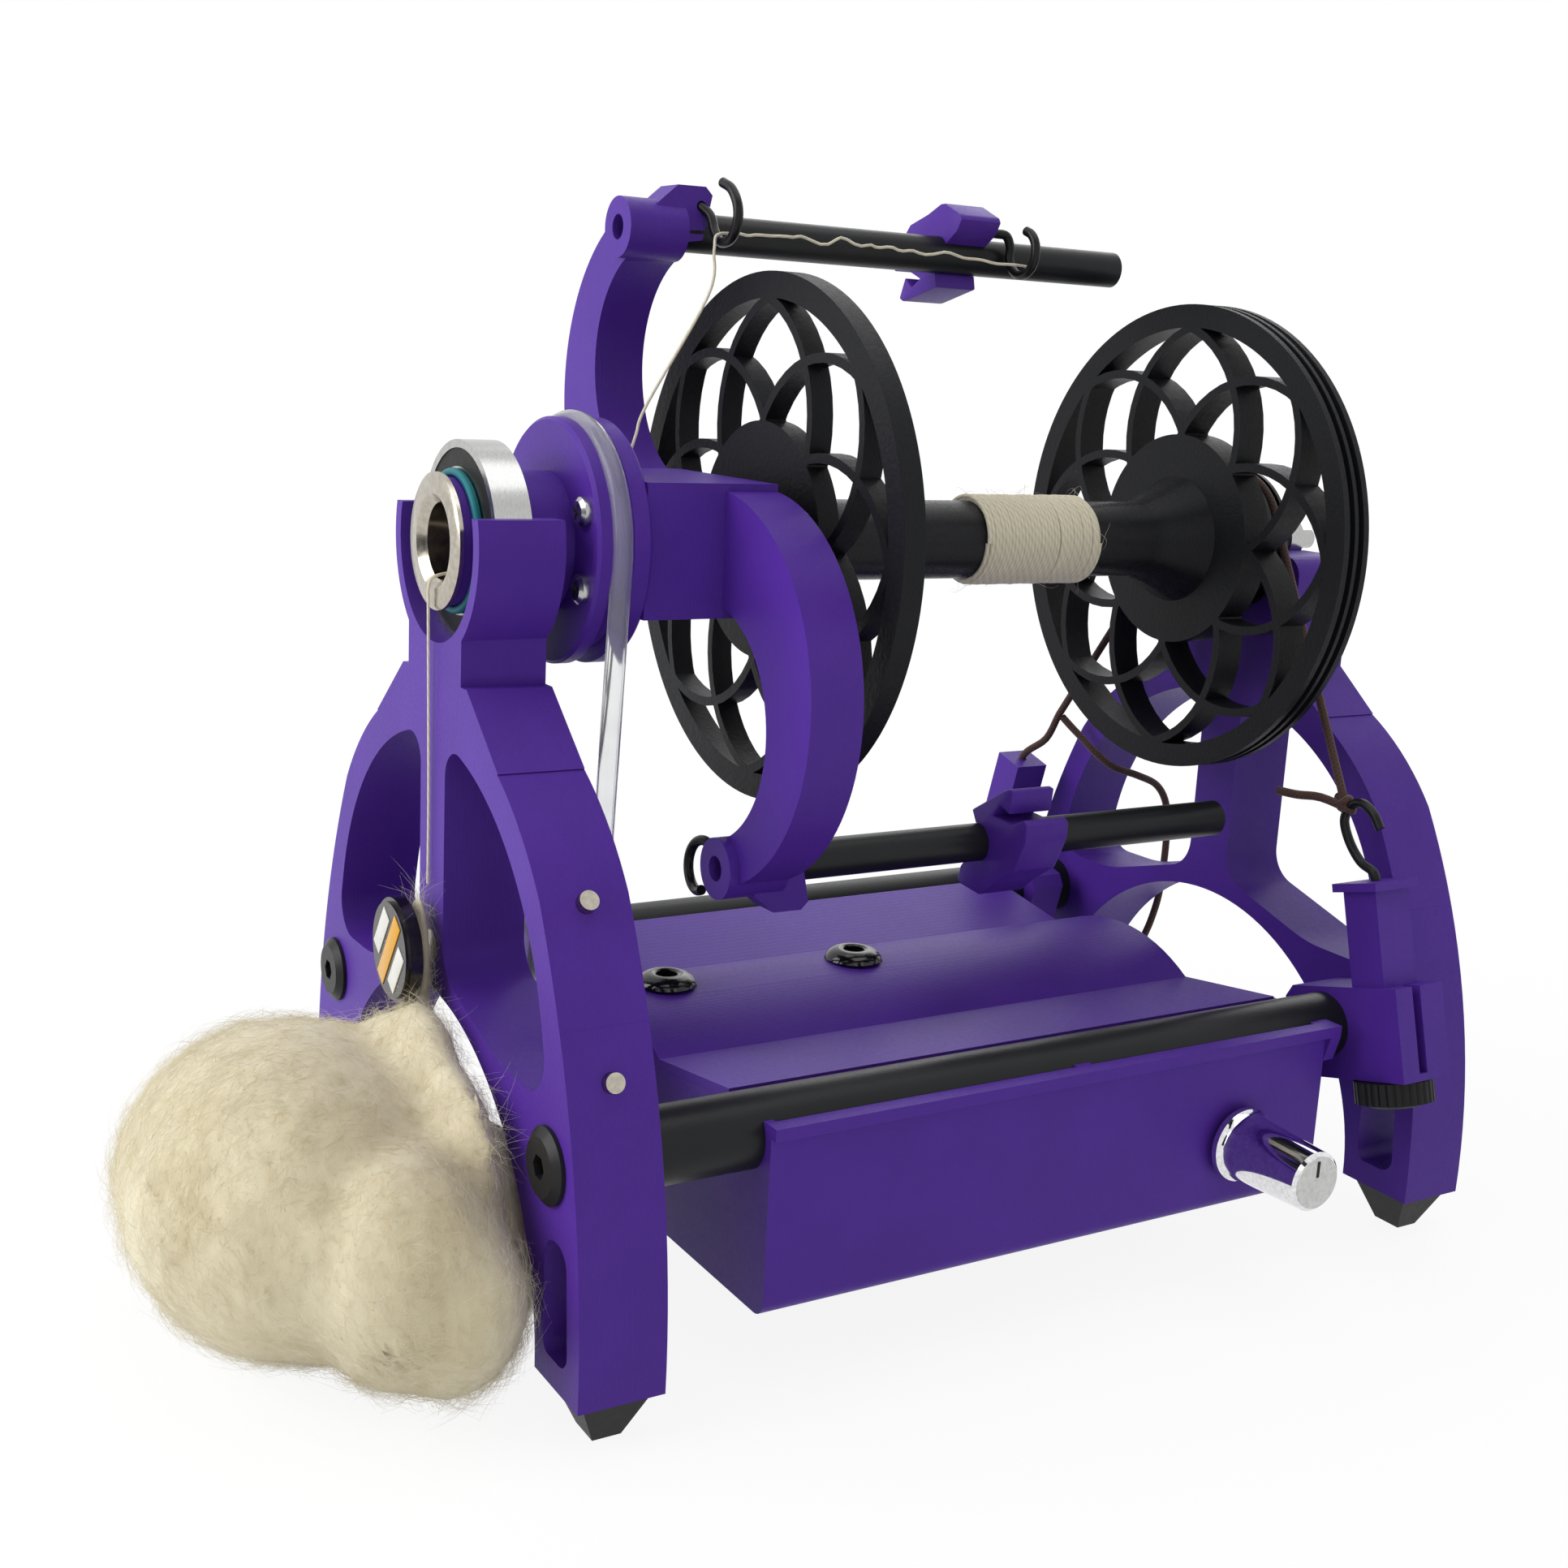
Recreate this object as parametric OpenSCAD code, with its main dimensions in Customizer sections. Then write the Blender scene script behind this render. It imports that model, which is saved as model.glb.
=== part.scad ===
// Electric yarn spinner: two printed stands joined by rails, a belt-driven flyer,
// a bobbin with a cord brake, and a motor housing slung between the rails.
// Lengths are in millimetres. +Z is up and the yarn orifice faces -Y.

/* [Stands] */
// Height of the spin axis above the table
axis_height = 187.5; // [185:0.5:205]
// Thickness of each stand
stand_t = 21; // [18:0.5:24]
// Clear distance between the two stands
stand_span = 231.5; // [231.5:0.5:250]
// Depth of the front bearing behind the stand's face
bearing_recess = 5.5; // [3:0.5:6]
// Half width of the strut in the middle of each stand
strut_half = 8; // [7:0.5:10]
// Radius of the stands' shoulders
shoulder_r = 78.6; // [77:0.2:80]
// Radius of the legs' outer curve
leg_curve_r = 208.9; // [207:0.1:211]
// Width of the rim round the large holes
hole_rim = 9.3; // [8:0.1:11]
// Radius of the arch between the legs
arch_r = 67.5; // [64:0.5:68]
// Outer radius of the front cradle
cradle_r = 27; // [26.5:0.1:29]
// Height of the cradle's prongs above the axis
prong_h = 7.3; // [5:0.1:9]
// Half width of the neck under the cradle
neck_half = 17.2; // [15:0.1:19]
// Half width of the rear stand's head
head_half = 25.5; // [23:0.5:27]
// Height of the rubber feet
foot_h = 11.5; // [9:0.5:13]

/* [Rails and bolts] */
// Diameter of the two rails
rail_d = 18; // [17:0.5:18.5]
// Distance of each rail from the middle
rail_x = 72.5; // [72:0.1:73]
// Depth of the rails below the spin axis
rail_drop = 126; // [125:0.5:128]
// Diameter of the rail bolts' heads
bolt_head_d = 17.5; // [14:0.5:18]
// Height of the rail bolts' heads
bolt_head_h = 2.5; // [2:0.1:4]
// Diameter of the rail bolts' threads
bolt_d = 8; // [6:0.5:9]

/* [Bearings] */
// Bore diameter of the front bearing
bearing_bore = 30; // [30:0.1:30.6]
// Outer diameter of the front bearing
bearing_od = 47; // [46.5:0.1:47.5]
// Width of the front bearing
bearing_w = 9; // [8.5:0.1:9.5]
// Diameter of the flyer's steel shaft
shaft_d = 6; // [5:0.1:6.2]
// Outer diameter of the rear bearing
rear_bearing_od = 13; // [12.6:0.1:14]
// Width of the rear bearing
rear_bearing_w = 5; // [4:0.1:5.5]

/* [Flyer] */
// Bore diameter of the yarn orifice
orifice_d = 18; // [14:0.5:19]
// Radius of the pulley's discs
pulley_r = 29.4; // [29:0.1:31]
// Radius of the pulley's belt groove
pulley_groove_r = 26; // [25.5:0.1:26.5]
// Diameter of the drive belt
belt_d = 5; // [4:0.1:5.2]
// Half width of the hub block
hub_half_x = 25.5; // [24.5:0.1:27]
// Half height of the hub block
hub_half_z = 16; // [15:0.5:18]
// Thickness of the flyer's arms
arm_t = 14; // [10:0.5:15]
// Distance of each rod from the spin axis
rod_orbit = 82.6; // [82:0.1:84]
// Diameter of the two rods
rod_d = 10; // [8:0.1:10.5]
// Length of the two rods
rod_len = 158; // [140:1:160]
// Diameter of the hooks' wire
wire_d = 2.6; // [2:0.1:2.8]
// Length of each sliding clip
clip_len = 20; // [16:1:22]

/* [Bobbin] */
// Radius of the bobbin's flanges
flange_r = 66.5; // [64:0.1:67]
// Thickness of the front flange
front_flange_t = 6; // [4:0.5:8]
// Thickness of the rear flange
rear_flange_t = 9; // [6:0.5:10]
// Width of the flanges' rims
rim_w = 6.5; // [5:0.1:8]
// Thickness of the flanges' ribs
rib_t = 2.4; // [1.6:0.1:3.2]
// Radius of the bobbin's core
core_r = 10.5; // [10:0.1:12]
// Length of the wound yarn along the core
wound_len = 39; // [38.5:0.5:44]
// Number of turns of yarn
wound_turns = 21; // [10:1:21]
// Diameter of the yarn in the winding
wound_yarn_d = 1.3; // [1:0.05:1.35]

/* [Housing] */
// Half width of the housing
housing_half = 84; // [84:0.1:85]
// Depth of the housing's floor below the spin axis
housing_drop = 167.8; // [164:0.2:170]
// Length of the housing
housing_len = 172; // [168:1:176]
// Wall thickness of the housing
wall = 2.4; // [2:0.1:2.5]
// Height of the cover's hump
hump_h = 8.3; // [8:0.1:9.5]
// Diameter of the motor
motor_d = 27; // [22:0.5:27.5]
// Length of the motor
motor_len = 50; // [40:1:60]
// Radius of the motor pulley's belt groove
motor_groove_r = 15.5; // [12:0.5:17]
// Length of the speed knob
knob_len = 27; // [20:1:30]

/* [Brake] */
// Diameter of the brake cord
cord_d = 2.4; // [2:0.1:2.6]
// Radius of the brake groove behind the bobbin
brake_r = 18.3; // [16:0.1:18.5]
// Lean of the cord posts towards the bobbin, in degrees
post_lean = 15.5; // [12:0.5:18]
// Length of the tension slider's post above the rail
slider_top = 38.7; // [34:0.1:42]

/* [Fibre] */
// Diameter of the single strand of yarn
strand_d = 0.9; // [0.6:0.1:1.1]
// Diameter of the button that holds the fibre
button_d = 25.5; // [20:0.5:28]
// Half width of the fibre bundle
fibre_half_w = 58; // [48:1:60]

/* [Hidden] */
$fn = 96;

// Clearances between pieces that fit each other
snug = 0.05;
run_gap = 0.05;
slip = 0.1;

// Colours
purple = [0.28, 0.13, 0.62];
black = [0.05, 0.05, 0.06];
steel = [0.72, 0.73, 0.74];
nickel = [0.70, 0.67, 0.60];
cream = [0.90, 0.86, 0.74];
brown = [0.24, 0.12, 0.09];

// Places along the spin axis, from the front bearing's face
front_y = -bearing_recess;
stand_back_y = front_y + stand_t;
rear_y = stand_back_y + stand_span;
end_y = rear_y + stand_t;
shaft_end_y = end_y + 7;
pulley_y = 22.4;
disc_t = 3.6;
groove_w = belt_d + 0.5;
pulley_back_y = pulley_y + 2 * disc_t + groove_w + 1.2;
belt_y = pulley_y + disc_t + groove_w / 2;
arm_y = 57;
arm_back_y = arm_y + arm_t;
flange_y = arm_back_y + 9.6;
rear_flange_y = 220;
hub_end_y = rear_y - 1;
housing_y = 43;
housing_end_y = housing_y + housing_len;
seam_y = housing_y + housing_len / 2 + 5;
clamp_y = 226;
clamp_t = 18;

// Heights below the spin axis
floor_z = -axis_height;
leg_z = floor_z + foot_h;
step_z = -31.5;
shoulder_z = -115;
leg_switch_z = -95;
leg_curve_center = [-118.5, -171];
hole_bottom_z = -113.5;
lip_z = -121;
lip_h = 3;
lip_out = 2;
cover_edge_z = -119.2;
cover_flat_z = -124.3;
cover_half = 64;
hump_half = 29;

// Legs, feet and slots
foot_outer_x = 90.4;
foot_inner_x = 68;
foot_inset = 2;
foot_bottom_inset = 7;

// Flyer
tube_r = bearing_bore / 2 - slip;
sleeve_r = 12.4;
sleeve_end_y = 14;
grommet_lip_r = 16;
grommet_lip_t = 1.5;
grommet_y = front_y - 0.6;
rod_tilt = 23.2;
rod_center = [-rod_orbit * sin(rod_tilt), rod_orbit * cos(rod_tilt)];
rod_y = arm_y + 1;
boss_r = rod_d / 2 + 2.6;
arm_outer_r = 48.5;
arm_inner_r = 29.3;
arm_outer_center = [20, -34];
arm_inner_center = [20, -42];
yarn_hole_y = 46;
pulley_screw_x = 22;
pulley_screw_z = 8.8;

// Bobbin
bobbin_hub_r = 30;
bobbin_bore_r = 7.5;
groove_y = hub_end_y - 3.5;
groove_half = cord_d;
wound_y = 145;
cord_loop_r = brake_r + cord_d / 2 + 0.1;

// Motor and belt
motor_z = -132.5;
motor_shaft_d = 3.2;
belt_big_r = pulley_groove_r + belt_d / 2 + 0.1;
belt_small_r = motor_groove_r + belt_d / 2 + 0.1;
motor_flange_r = motor_groove_r + 3.5;

// Speed control
knob_y = 185;
knob_z = -148.5;
knob_x = 86.4;
control_shaft_r = 3;

// Tension side: a frame on the right rail, u outwards and v along the leaning post
post_u = 16.2;
post_w = 11.3;
slider_y0 = 227.5;
slider_y1 = 240;
slider_mid_y = (slider_y0 + slider_y1) / 2;
screw_r = 3;
block_v0 = -14.7;
block_v1 = 10.5;
left_post_u1 = 23;
wheel_r = 10.5;
wheel_t = 6;

// Overall box, for the origin under its middle
left_reach = rail_x + left_post_u1 * cos(post_lean) - block_v0 * sin(post_lean);
right_reach = knob_x + knob_len;
fibre_center = [30, -44, floor_z + 41.5];
fibre_semi = [fibre_half_w, 42, 41];
fibre_lobe_center = [28, -8, fibre_center[2] - 10];
fibre_lobe_semi = [33, 22, 30];
fibre_neck_center = [8, -17.5, fibre_center[2] + 14];
fibre_neck_semi = [20, 11.5, 22];
front_reach = fibre_center[1] - fibre_semi[1];
center_x = (right_reach - left_reach) / 2;
center_y = (front_reach + shaft_end_y) / 2;

// ---- Functions ----

function unit(v) = v / norm(v);

function short_turn(a) = a > 180 ? a - 360 : a < -180 ? a + 360 : a;

// Arc at corner q between neighbours p and s
function corner_arc(p, q, s, r, n) =
    let (
        u = unit(p - q),
        v = unit(s - q),
        half = acos(u * v) / 2,
        c = q + unit(u + v) * r / sin(half),
        d0 = q + u * r / tan(half) - c,
        d1 = q + v * r / tan(half) - c,
        a0 = atan2(d0[1], d0[0]),
        turn = short_turn(atan2(d1[1], d1[0]) - a0)
    )
    [for (i = [0:n]) c + r * [cos(a0 + turn * i / n), sin(a0 + turn * i / n)]];

// Outline with rounded corners, each given as [x, z, radius]
function rounded(corners, n = 6) =
    let (m = len(corners), xy = [for (c = corners) [c[0], c[1]]])
    [for (i = [0:m - 1])
        each corners[i][2] > 0
            ? corner_arc(xy[(i + m - 1) % m], xy[i], xy[(i + 1) % m], corners[i][2], n)
            : [xy[i]]];

// Smooth curve through points, with n steps between neighbours
function spline_point(p, q, r, s, t) =
    0.5 * ((2 * q) + (r - p) * t + (2 * p - 5 * q + 4 * r - s) * t * t
        + (3 * q - p - 3 * r + s) * t * t * t);

function spline(pts, n) =
    let (m = len(pts))
    concat(
        [for (i = [0:m - 2], k = [0:n - 1])
            spline_point(
                i == 0 ? 2 * pts[0] - pts[1] : pts[i - 1], pts[i], pts[i + 1],
                i == m - 2 ? 2 * pts[m - 1] - pts[m - 2] : pts[i + 2], k / n)],
        [pts[m - 1]]);

function tangents(p, closed) =
    let (m = len(p))
    [for (i = [0:m - 1])
        unit(closed ? p[(i + 1) % m] - p[(i + m - 1) % m]
            : p[min(i + 1, m - 1)] - p[max(i - 1, 0)])];

// Normals carried along the path without twist
function carried(t, i, acc) =
    i == len(t) ? acc
        : carried(t, i + 1, concat(acc, [let (n = acc[i - 1]) unit(n - (n * t[i]) * t[i])]));

function side_of(t) = unit(cross(t, abs(t[2]) > 0.8 ? [0, 1, 0] : [0, 0, 1]));

// The corners of a stand's large hole
hole_r = shoulder_r - hole_rim;
hole_start = [hole_r * cos(75), shoulder_z + hole_r * sin(75)];
hole_side = [hole_r * cos(15), shoulder_z + hole_r * sin(15)];
hole_far = hole_r / cos(15);
hole_corners = [
    [strut_half, hole_start[1] + (hole_start[0] - strut_half) / tan(75), 7],
    [strut_half, hole_bottom_z + 11, 10],
    [44, hole_bottom_z + 0.4, 40],
    [hole_side[0] + (hole_side[1] - hole_bottom_z) * tan(15), hole_bottom_z, 9],
    [hole_far * cos(30), shoulder_z + hole_far * sin(30), hole_r - 0.5],
    [hole_far * cos(60), shoulder_z + hole_far * sin(60), hole_r - 0.5]
];

// The corners of the slot in each leg
slot_x = foot_inner_x + 3.5;
slot_top_z = leg_z + 34;
slot_low_z = leg_z + 6.5;
slot_corners = [
    [slot_x, slot_top_z, 5], [slot_x, slot_low_z, 3],
    [slot_x + 13, slot_low_z, 4], [slot_x + 11, slot_top_z, 5]
];

// The cover's top line from right to left
hump_r = (hump_half * hump_half + hump_h * hump_h) / (2 * hump_h);
hump_angle = asin(hump_half / hump_r);
hump_top_z = cover_flat_z + hump_h;
function cover_line(drop) =
    concat(
        [[cover_half, cover_edge_z - drop]],
        [for (i = [0:16]) let (a = hump_angle * (1 - i / 8))
            [hump_r * sin(a), hump_top_z - hump_r + hump_r * cos(a) - drop]],
        [[-cover_half, cover_edge_z - drop]]);

function reversed(list) = [for (i = [len(list) - 1:-1:0]) list[i]];

// A point of the tension side's frame, in the spin axis frame
function on_post(u, y, v) =
    [rail_x + u * cos(post_lean) - v * sin(post_lean), y,
        -rail_drop + u * sin(post_lean) + v * cos(post_lean)];

// ---- Shared shapes ----

// Puts the origin on the table under the middle of the object
module on_table() {
    translate([-center_x, -center_y, axis_height]) children();
}

// Extrudes an (x, z) outline from y0 to y1
module slab_y(y0, y1) {
    translate([0, y1, 0]) rotate([90, 0, 0]) linear_extrude(y1 - y0) children();
}

module rod_y(r, y0, y1, x = 0, z = 0) {
    translate([x, y1, z]) rotate([90, 0, 0]) cylinder(h = y1 - y0, r = r);
}

module ring_y(r_out, r_in, y0, y1) {
    difference() {
        rod_y(r_out, y0, y1);
        rod_y(r_in, y0 - 1, y1 + 1);
    }
}

// Turns an (r, y) profile round the Y axis
module turned_y() {
    rotate([-90, 0, 0]) rotate_extrude() children();
}

module rod_between(p, q, r) {
    v = q - p;
    translate(p) rotate([0, acos(v[2] / norm(v)), atan2(v[1], v[0])]) cylinder(h = norm(v), r = r);
}

// Round tube along a path of points
module tube(path, d, sides = 8, closed = false) {
    t = tangents(path, closed);
    nrm = carried(t, 1, [side_of(t[0])]);
    n = len(path);
    s = sides;
    last = closed ? n - 1 : n - 2;
    polyhedron(
        points = [for (i = [0:n - 1], k = [0:s - 1])
            let (a = 360 * k / s)
            path[i] + d / 2 * (cos(a) * nrm[i] + sin(a) * cross(t[i], nrm[i]))],
        faces = concat(
            closed ? [] : [[for (k = [0:s - 1]) k]],
            [for (i = [0:last], k = [0:s - 1])
                let (j = (i + 1) % n, k1 = (k + 1) % s) [i * s + k, j * s + k1, i * s + k1]],
            [for (i = [0:last], k = [0:s - 1])
                let (j = (i + 1) % n, k1 = (k + 1) % s) [i * s + k, j * s + k, j * s + k1]],
            closed ? [] : [[for (k = [s - 1:-1:0]) (n - 1) * s + k]]));
}

// Cutter for a large hole or a slot: the outline given, from y0 to y1
module hole_cutter(corners, y0, y1) {
    slab_y(y0 - 1, y1 + 1) polygon(rounded(corners, 12));
}

// ---- Stands ----

module leg_profile() {
    difference() {
        intersection() {
            union() {
                translate([0, shoulder_z]) circle(shoulder_r);
                translate([-2 * arch_r, leg_z]) square([4 * arch_r, leg_switch_z - leg_z]);
                polygon([[neck_half + 3.8, step_z], [-neck_half - 3.8, step_z], [-40, -47], [40, -47]]);
            }
            translate(leg_curve_center) circle(leg_curve_r, $fn = 256);
            mirror([1, 0]) translate(leg_curve_center) circle(leg_curve_r, $fn = 256);
            translate([-2 * arch_r, leg_z]) square([4 * arch_r, step_z - leg_z]);
        }
        translate([0, leg_z]) circle(arch_r);
    }
}

module stand_cutouts(y0, y1) {
    for (side = [0, 1]) mirror([side, 0, 0]) {
        hole_cutter(hole_corners, y0, y1);
        hole_cutter(slot_corners, y0, y1);
        rod_y(bolt_d / 2 + snug, y0 - 1, y1 + 1, rail_x, -rail_drop);
    }
}

// Places of the side magnets, as [x, z, outward angle]
side_magnet_spots = [
    [shoulder_r * cos(34.3), shoulder_z + shoulder_r * sin(34.3), 34.3],
    [leg_curve_center[0] + leg_curve_r * cos(18.1), leg_curve_center[1] + leg_curve_r * sin(18.1), 18.1]
];
side_magnet_r = 2.25;
side_magnet_deep = 3;
side_magnet_proud = 2.2;
side_magnet_y = front_y + stand_t / 2;

module side_magnet_rods(r, deep, proud) {
    for (spot = side_magnet_spots)
        translate([spot[0], side_magnet_y, spot[1]]) rotate([0, 90 - spot[2], 0])
            translate([0, 0, -deep]) cylinder(h = deep + proud, r = r);
}

module front_stand() {
    color(purple) on_table() difference() {
        slab_y(front_y, stand_back_y) union() {
            leg_profile();
            translate([-neck_half, step_z - 4]) square([2 * neck_half, -step_z]);
            intersection() {
                circle(cradle_r);
                translate([-cradle_r, -cradle_r]) square([2 * cradle_r, cradle_r + prong_h]);
            }
        }
        rod_y(bearing_od / 2 + snug, front_y - 1, bearing_w + snug);
        rod_y(bearing_od / 2 - 2.5, bearing_w, stand_back_y + 1);
        stand_cutouts(front_y, stand_back_y);
        side_magnet_rods(side_magnet_r + snug, side_magnet_deep, 4);
        strut_magnet_rod(strut_magnet_r + snug, 1);
    }
}

rear_bearing_y = end_y - rear_bearing_w - 1;
module rear_stand() {
    color(purple) on_table() difference() {
        slab_y(rear_y, end_y) union() {
            leg_profile();
            polygon(rounded([[head_half, -3, 6], [-head_half, -3, 6], [-head_half, -37, 0], [head_half, -37, 0]]));
        }
        rod_y(rear_bearing_od / 2 + snug, rear_bearing_y - snug, end_y + 1);
        slab_y(rear_bearing_y - snug, end_y + 1)
            translate([-rear_bearing_od / 2 - snug, 0]) square([rear_bearing_od + 2 * snug, 10]);
        rod_y(shaft_d / 2 + 1, rear_y - 1, end_y);
        slab_y(rear_y - 1, end_y) translate([-shaft_d / 2 - 1, 0]) square([shaft_d + 2, 10]);
        stand_cutouts(rear_y, end_y);
    }
}

// A foot: two crossing wedges give its four sloping sides
module foot(y0) {
    top = leg_z;
    x0 = foot_inner_x + foot_inset;
    x1 = foot_outer_x - foot_inset;
    ya = y0 + foot_inset;
    yb = y0 + stand_t - foot_inset;
    slope = foot_bottom_inset - foot_inset;
    intersection() {
        slab_y(ya, yb) polygon([[x0, top], [x0 + slope, floor_z], [x1 - slope, floor_z], [x1, top]]);
        translate([x0, 0, 0]) rotate([90, 0, 90]) linear_extrude(x1 - x0)
            polygon([[ya, top], [ya + slope, floor_z], [yb - slope, floor_z], [yb, top]]);
    }
}

module rubber_feet() {
    color(black) on_table() for (side = [0, 1], y0 = [front_y, rear_y]) mirror([side, 0, 0]) foot(y0);
}

rail_bolt_len = 34;
module rail(side) {
    difference() {
        rod_y(rail_d / 2, stand_back_y, rear_y, side * rail_x, -rail_drop);
        rod_y(bolt_d / 2 + snug, stand_back_y - 1, stand_back_y + 20, side * rail_x, -rail_drop);
        rod_y(bolt_d / 2 + snug, rear_y - 20, rear_y + 1, side * rail_x, -rail_drop);
    }
}

module rails() {
    color(black) on_table() for (side = [-1, 1]) rail(side);
}

// Bolt with its head's underside at y = 0 and its thread along +Y
module rail_bolt() {
    difference() {
        union() {
            rod_y(bolt_head_d / 2, -1, 0);
            translate([0, -1, 0]) rotate([90, 0, 0])
                cylinder(h = bolt_head_h - 1, r1 = bolt_head_d / 2, r2 = bolt_head_d / 2 - 2);
            rod_y(bolt_d / 2, 0, rail_bolt_len);
        }
        translate([0, -bolt_head_h - 1, 0]) rotate([-90, 0, 0]) cylinder(h = 3.4, r = bolt_d * 0.36, $fn = 6);
    }
}

module rail_bolts() {
    color(black) on_table() for (side = [-1, 1]) {
        translate([side * rail_x, front_y, -rail_drop]) rail_bolt();
        translate([side * rail_x, end_y, -rail_drop]) rotate([0, 0, 180]) rail_bolt();
    }
}

// Button that clamps the fibre against a magnet in the strut
button_z = -98;
button_t = 4;
fibre_gap = 6.5;
strut_magnet_r = 4;
module strut_magnet_rod(r, proud) {
    rod_y(r, front_y - proud, front_y + 3, 0, button_z);
}

module stand_magnets() {
    color(nickel) on_table() {
        side_magnet_rods(side_magnet_r, side_magnet_deep, side_magnet_proud);
        strut_magnet_rod(strut_magnet_r, 0);
    }
}

button_y = front_y - fibre_gap;
module button_magnet() {
    color(steel) on_table() translate([0, button_y, button_z]) {
        rod_y(button_d / 2, -button_t + 1, 0);
        rod_y(button_d / 2 - 1, -button_t, -button_t + 1);
    }
}

// ---- Bearings ----

module bearing_ring(r_out, r_in, y0, w, pitch_r, ball_r) {
    difference() {
        ring_y(r_out, r_in, y0, y0 + w);
        translate([0, y0 + w / 2, 0]) rotate([90, 0, 0])
            rotate_extrude() translate([pitch_r, 0]) circle(ball_r + 0.03, $fn = 32);
    }
}

module ball_row(count, y, pitch_r, ball_r) {
    for (i = [0:count - 1]) rotate([0, 360 * i / count, 0])
        translate([pitch_r, y, 0]) sphere(ball_r, $fn = 24);
}

ring_inner_r = bearing_bore / 2 + 2.3;
ring_outer_r = bearing_od / 2 - 1.9;
front_pitch_r = (ring_inner_r + ring_outer_r) / 2;
front_ball_r = 2.6;
module front_bearing_outer_ring() {
    color(steel) on_table()
        bearing_ring(bearing_od / 2, ring_outer_r, 0, bearing_w, front_pitch_r, front_ball_r);
}

module front_bearing_inner_ring() {
    color(steel) on_table()
        bearing_ring(ring_inner_r, bearing_bore / 2, 0, bearing_w, front_pitch_r, front_ball_r);
}

module front_bearing_balls() {
    color(steel) on_table() ball_row(16, bearing_w / 2, front_pitch_r, front_ball_r);
}

module front_bearing_seals() {
    color(black) on_table() for (y0 = [0.3, bearing_w - 0.9])
        ring_y(ring_outer_r - 0.02, ring_inner_r + run_gap, y0, y0 + 0.6);
}

rear_pitch_r = (shaft_d + rear_bearing_od) / 4;
rear_ball_r = 0.9;
module rear_bearing_outer_ring() {
    color(steel) on_table()
        bearing_ring(rear_bearing_od / 2, rear_pitch_r + 0.7, rear_bearing_y, rear_bearing_w, rear_pitch_r, rear_ball_r);
}

module rear_bearing_inner_ring() {
    color(steel) on_table()
        bearing_ring(rear_pitch_r - 0.7, shaft_d / 2 + 0.01, rear_bearing_y, rear_bearing_w, rear_pitch_r, rear_ball_r);
}

module rear_bearing_balls() {
    color(steel) on_table() ball_row(9, rear_bearing_y + rear_bearing_w / 2, rear_pitch_r, rear_ball_r);
}

// ---- Flyer ----

module o_ring() {
    color("teal") on_table() translate([0, -1.1, 0]) rotate([90, 0, 0])
        rotate_extrude() translate([tube_r + 1.05, 0]) circle(1, $fn = 24);
}

module orifice_grommet() {
    color(nickel) on_table() difference() {
        union() {
            rod_y(grommet_lip_r, grommet_y + 0.5, grommet_y + grommet_lip_t);
            translate([0, grommet_y + 0.5, 0]) rotate([90, 0, 0])
                cylinder(h = 0.5, r1 = grommet_lip_r, r2 = grommet_lip_r - 1);
            rod_y(sleeve_r, grommet_y + grommet_lip_t, sleeve_end_y);
        }
        rod_y(orifice_d / 2, grommet_y - 1, sleeve_end_y + 1);
        translate([0, grommet_y + 2, 0]) rotate([90, 0, 0])
            cylinder(h = 2.01, r1 = orifice_d / 2, r2 = orifice_d / 2 + 2);
    }
}

module flyer_pulley() {
    y1 = pulley_y;
    y2 = pulley_y + disc_t;
    y3 = y2 + groove_w;
    color(purple) on_table() difference() {
        turned_y() polygon([
        [tube_r + snug, bearing_w + 0.1], [16.6, bearing_w + 0.1], [16.6, y1],
        [pulley_r - 0.8, y1], [pulley_r, y1 + 0.8], [pulley_r, y2], [pulley_groove_r, y2 + 0.6],
        [pulley_groove_r, y3 - 0.6], [pulley_r, y3], [pulley_r, pulley_back_y - 0.8],
        [pulley_r - 0.8, pulley_back_y], [tube_r + snug, pulley_back_y]
        ]);
        pulley_screw_spots() rod_y(screw_shank_r + snug, -1, screw_shank_len);
    }
}

screw_shank_r = 1.4;
screw_shank_len = 25;

module pulley_screw_spots() {
    for (x = [-pulley_screw_x, pulley_screw_x], z = [-pulley_screw_z, pulley_screw_z])
        translate([x, pulley_y, z]) children();
}

module pulley_screws() {
    color(steel) on_table() pulley_screw_spots() difference() {
        union() {
            rod_y(3.5, -1.6, 0);
            rod_y(screw_shank_r, -0.1, screw_shank_len);
            translate([0, -1.6, 0]) rotate([90, 0, 0]) cylinder(h = 0.8, r1 = 3.5, r2 = 2.6);
        }
        for (a = [0, 90]) rotate([0, a + 20, 0]) translate([-2, -3, -0.4]) cube([4, 2, 0.8]);
    }
}

module arm_profile() {
    intersection() {
        difference() {
            translate(arm_outer_center) circle(arm_outer_r);
            translate(arm_inner_center) circle(arm_inner_r);
        }
        polygon([[18, 20], [18, -40], [-rod_center[0], -rod_center[1] + 12],
            [-rod_center[0], -90], [80, -90], [80, 20]]);
    }
}

// The block behind each boss that carries the fixed hook
module hook_block() {
    x0 = rod_center[0] - 4.7;
    translate([x0, 0, 0]) rotate([90, 0, 90]) linear_extrude(9.7)
        polygon([[arm_y + 6, 82.4], [arm_y + 11.6, 87.2], [arm_back_y + 5.6, 87.3], [arm_back_y + 7.6, 85.3],
            [arm_back_y + 5.2, 74], [arm_y + 6, 72]]);
}

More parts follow.
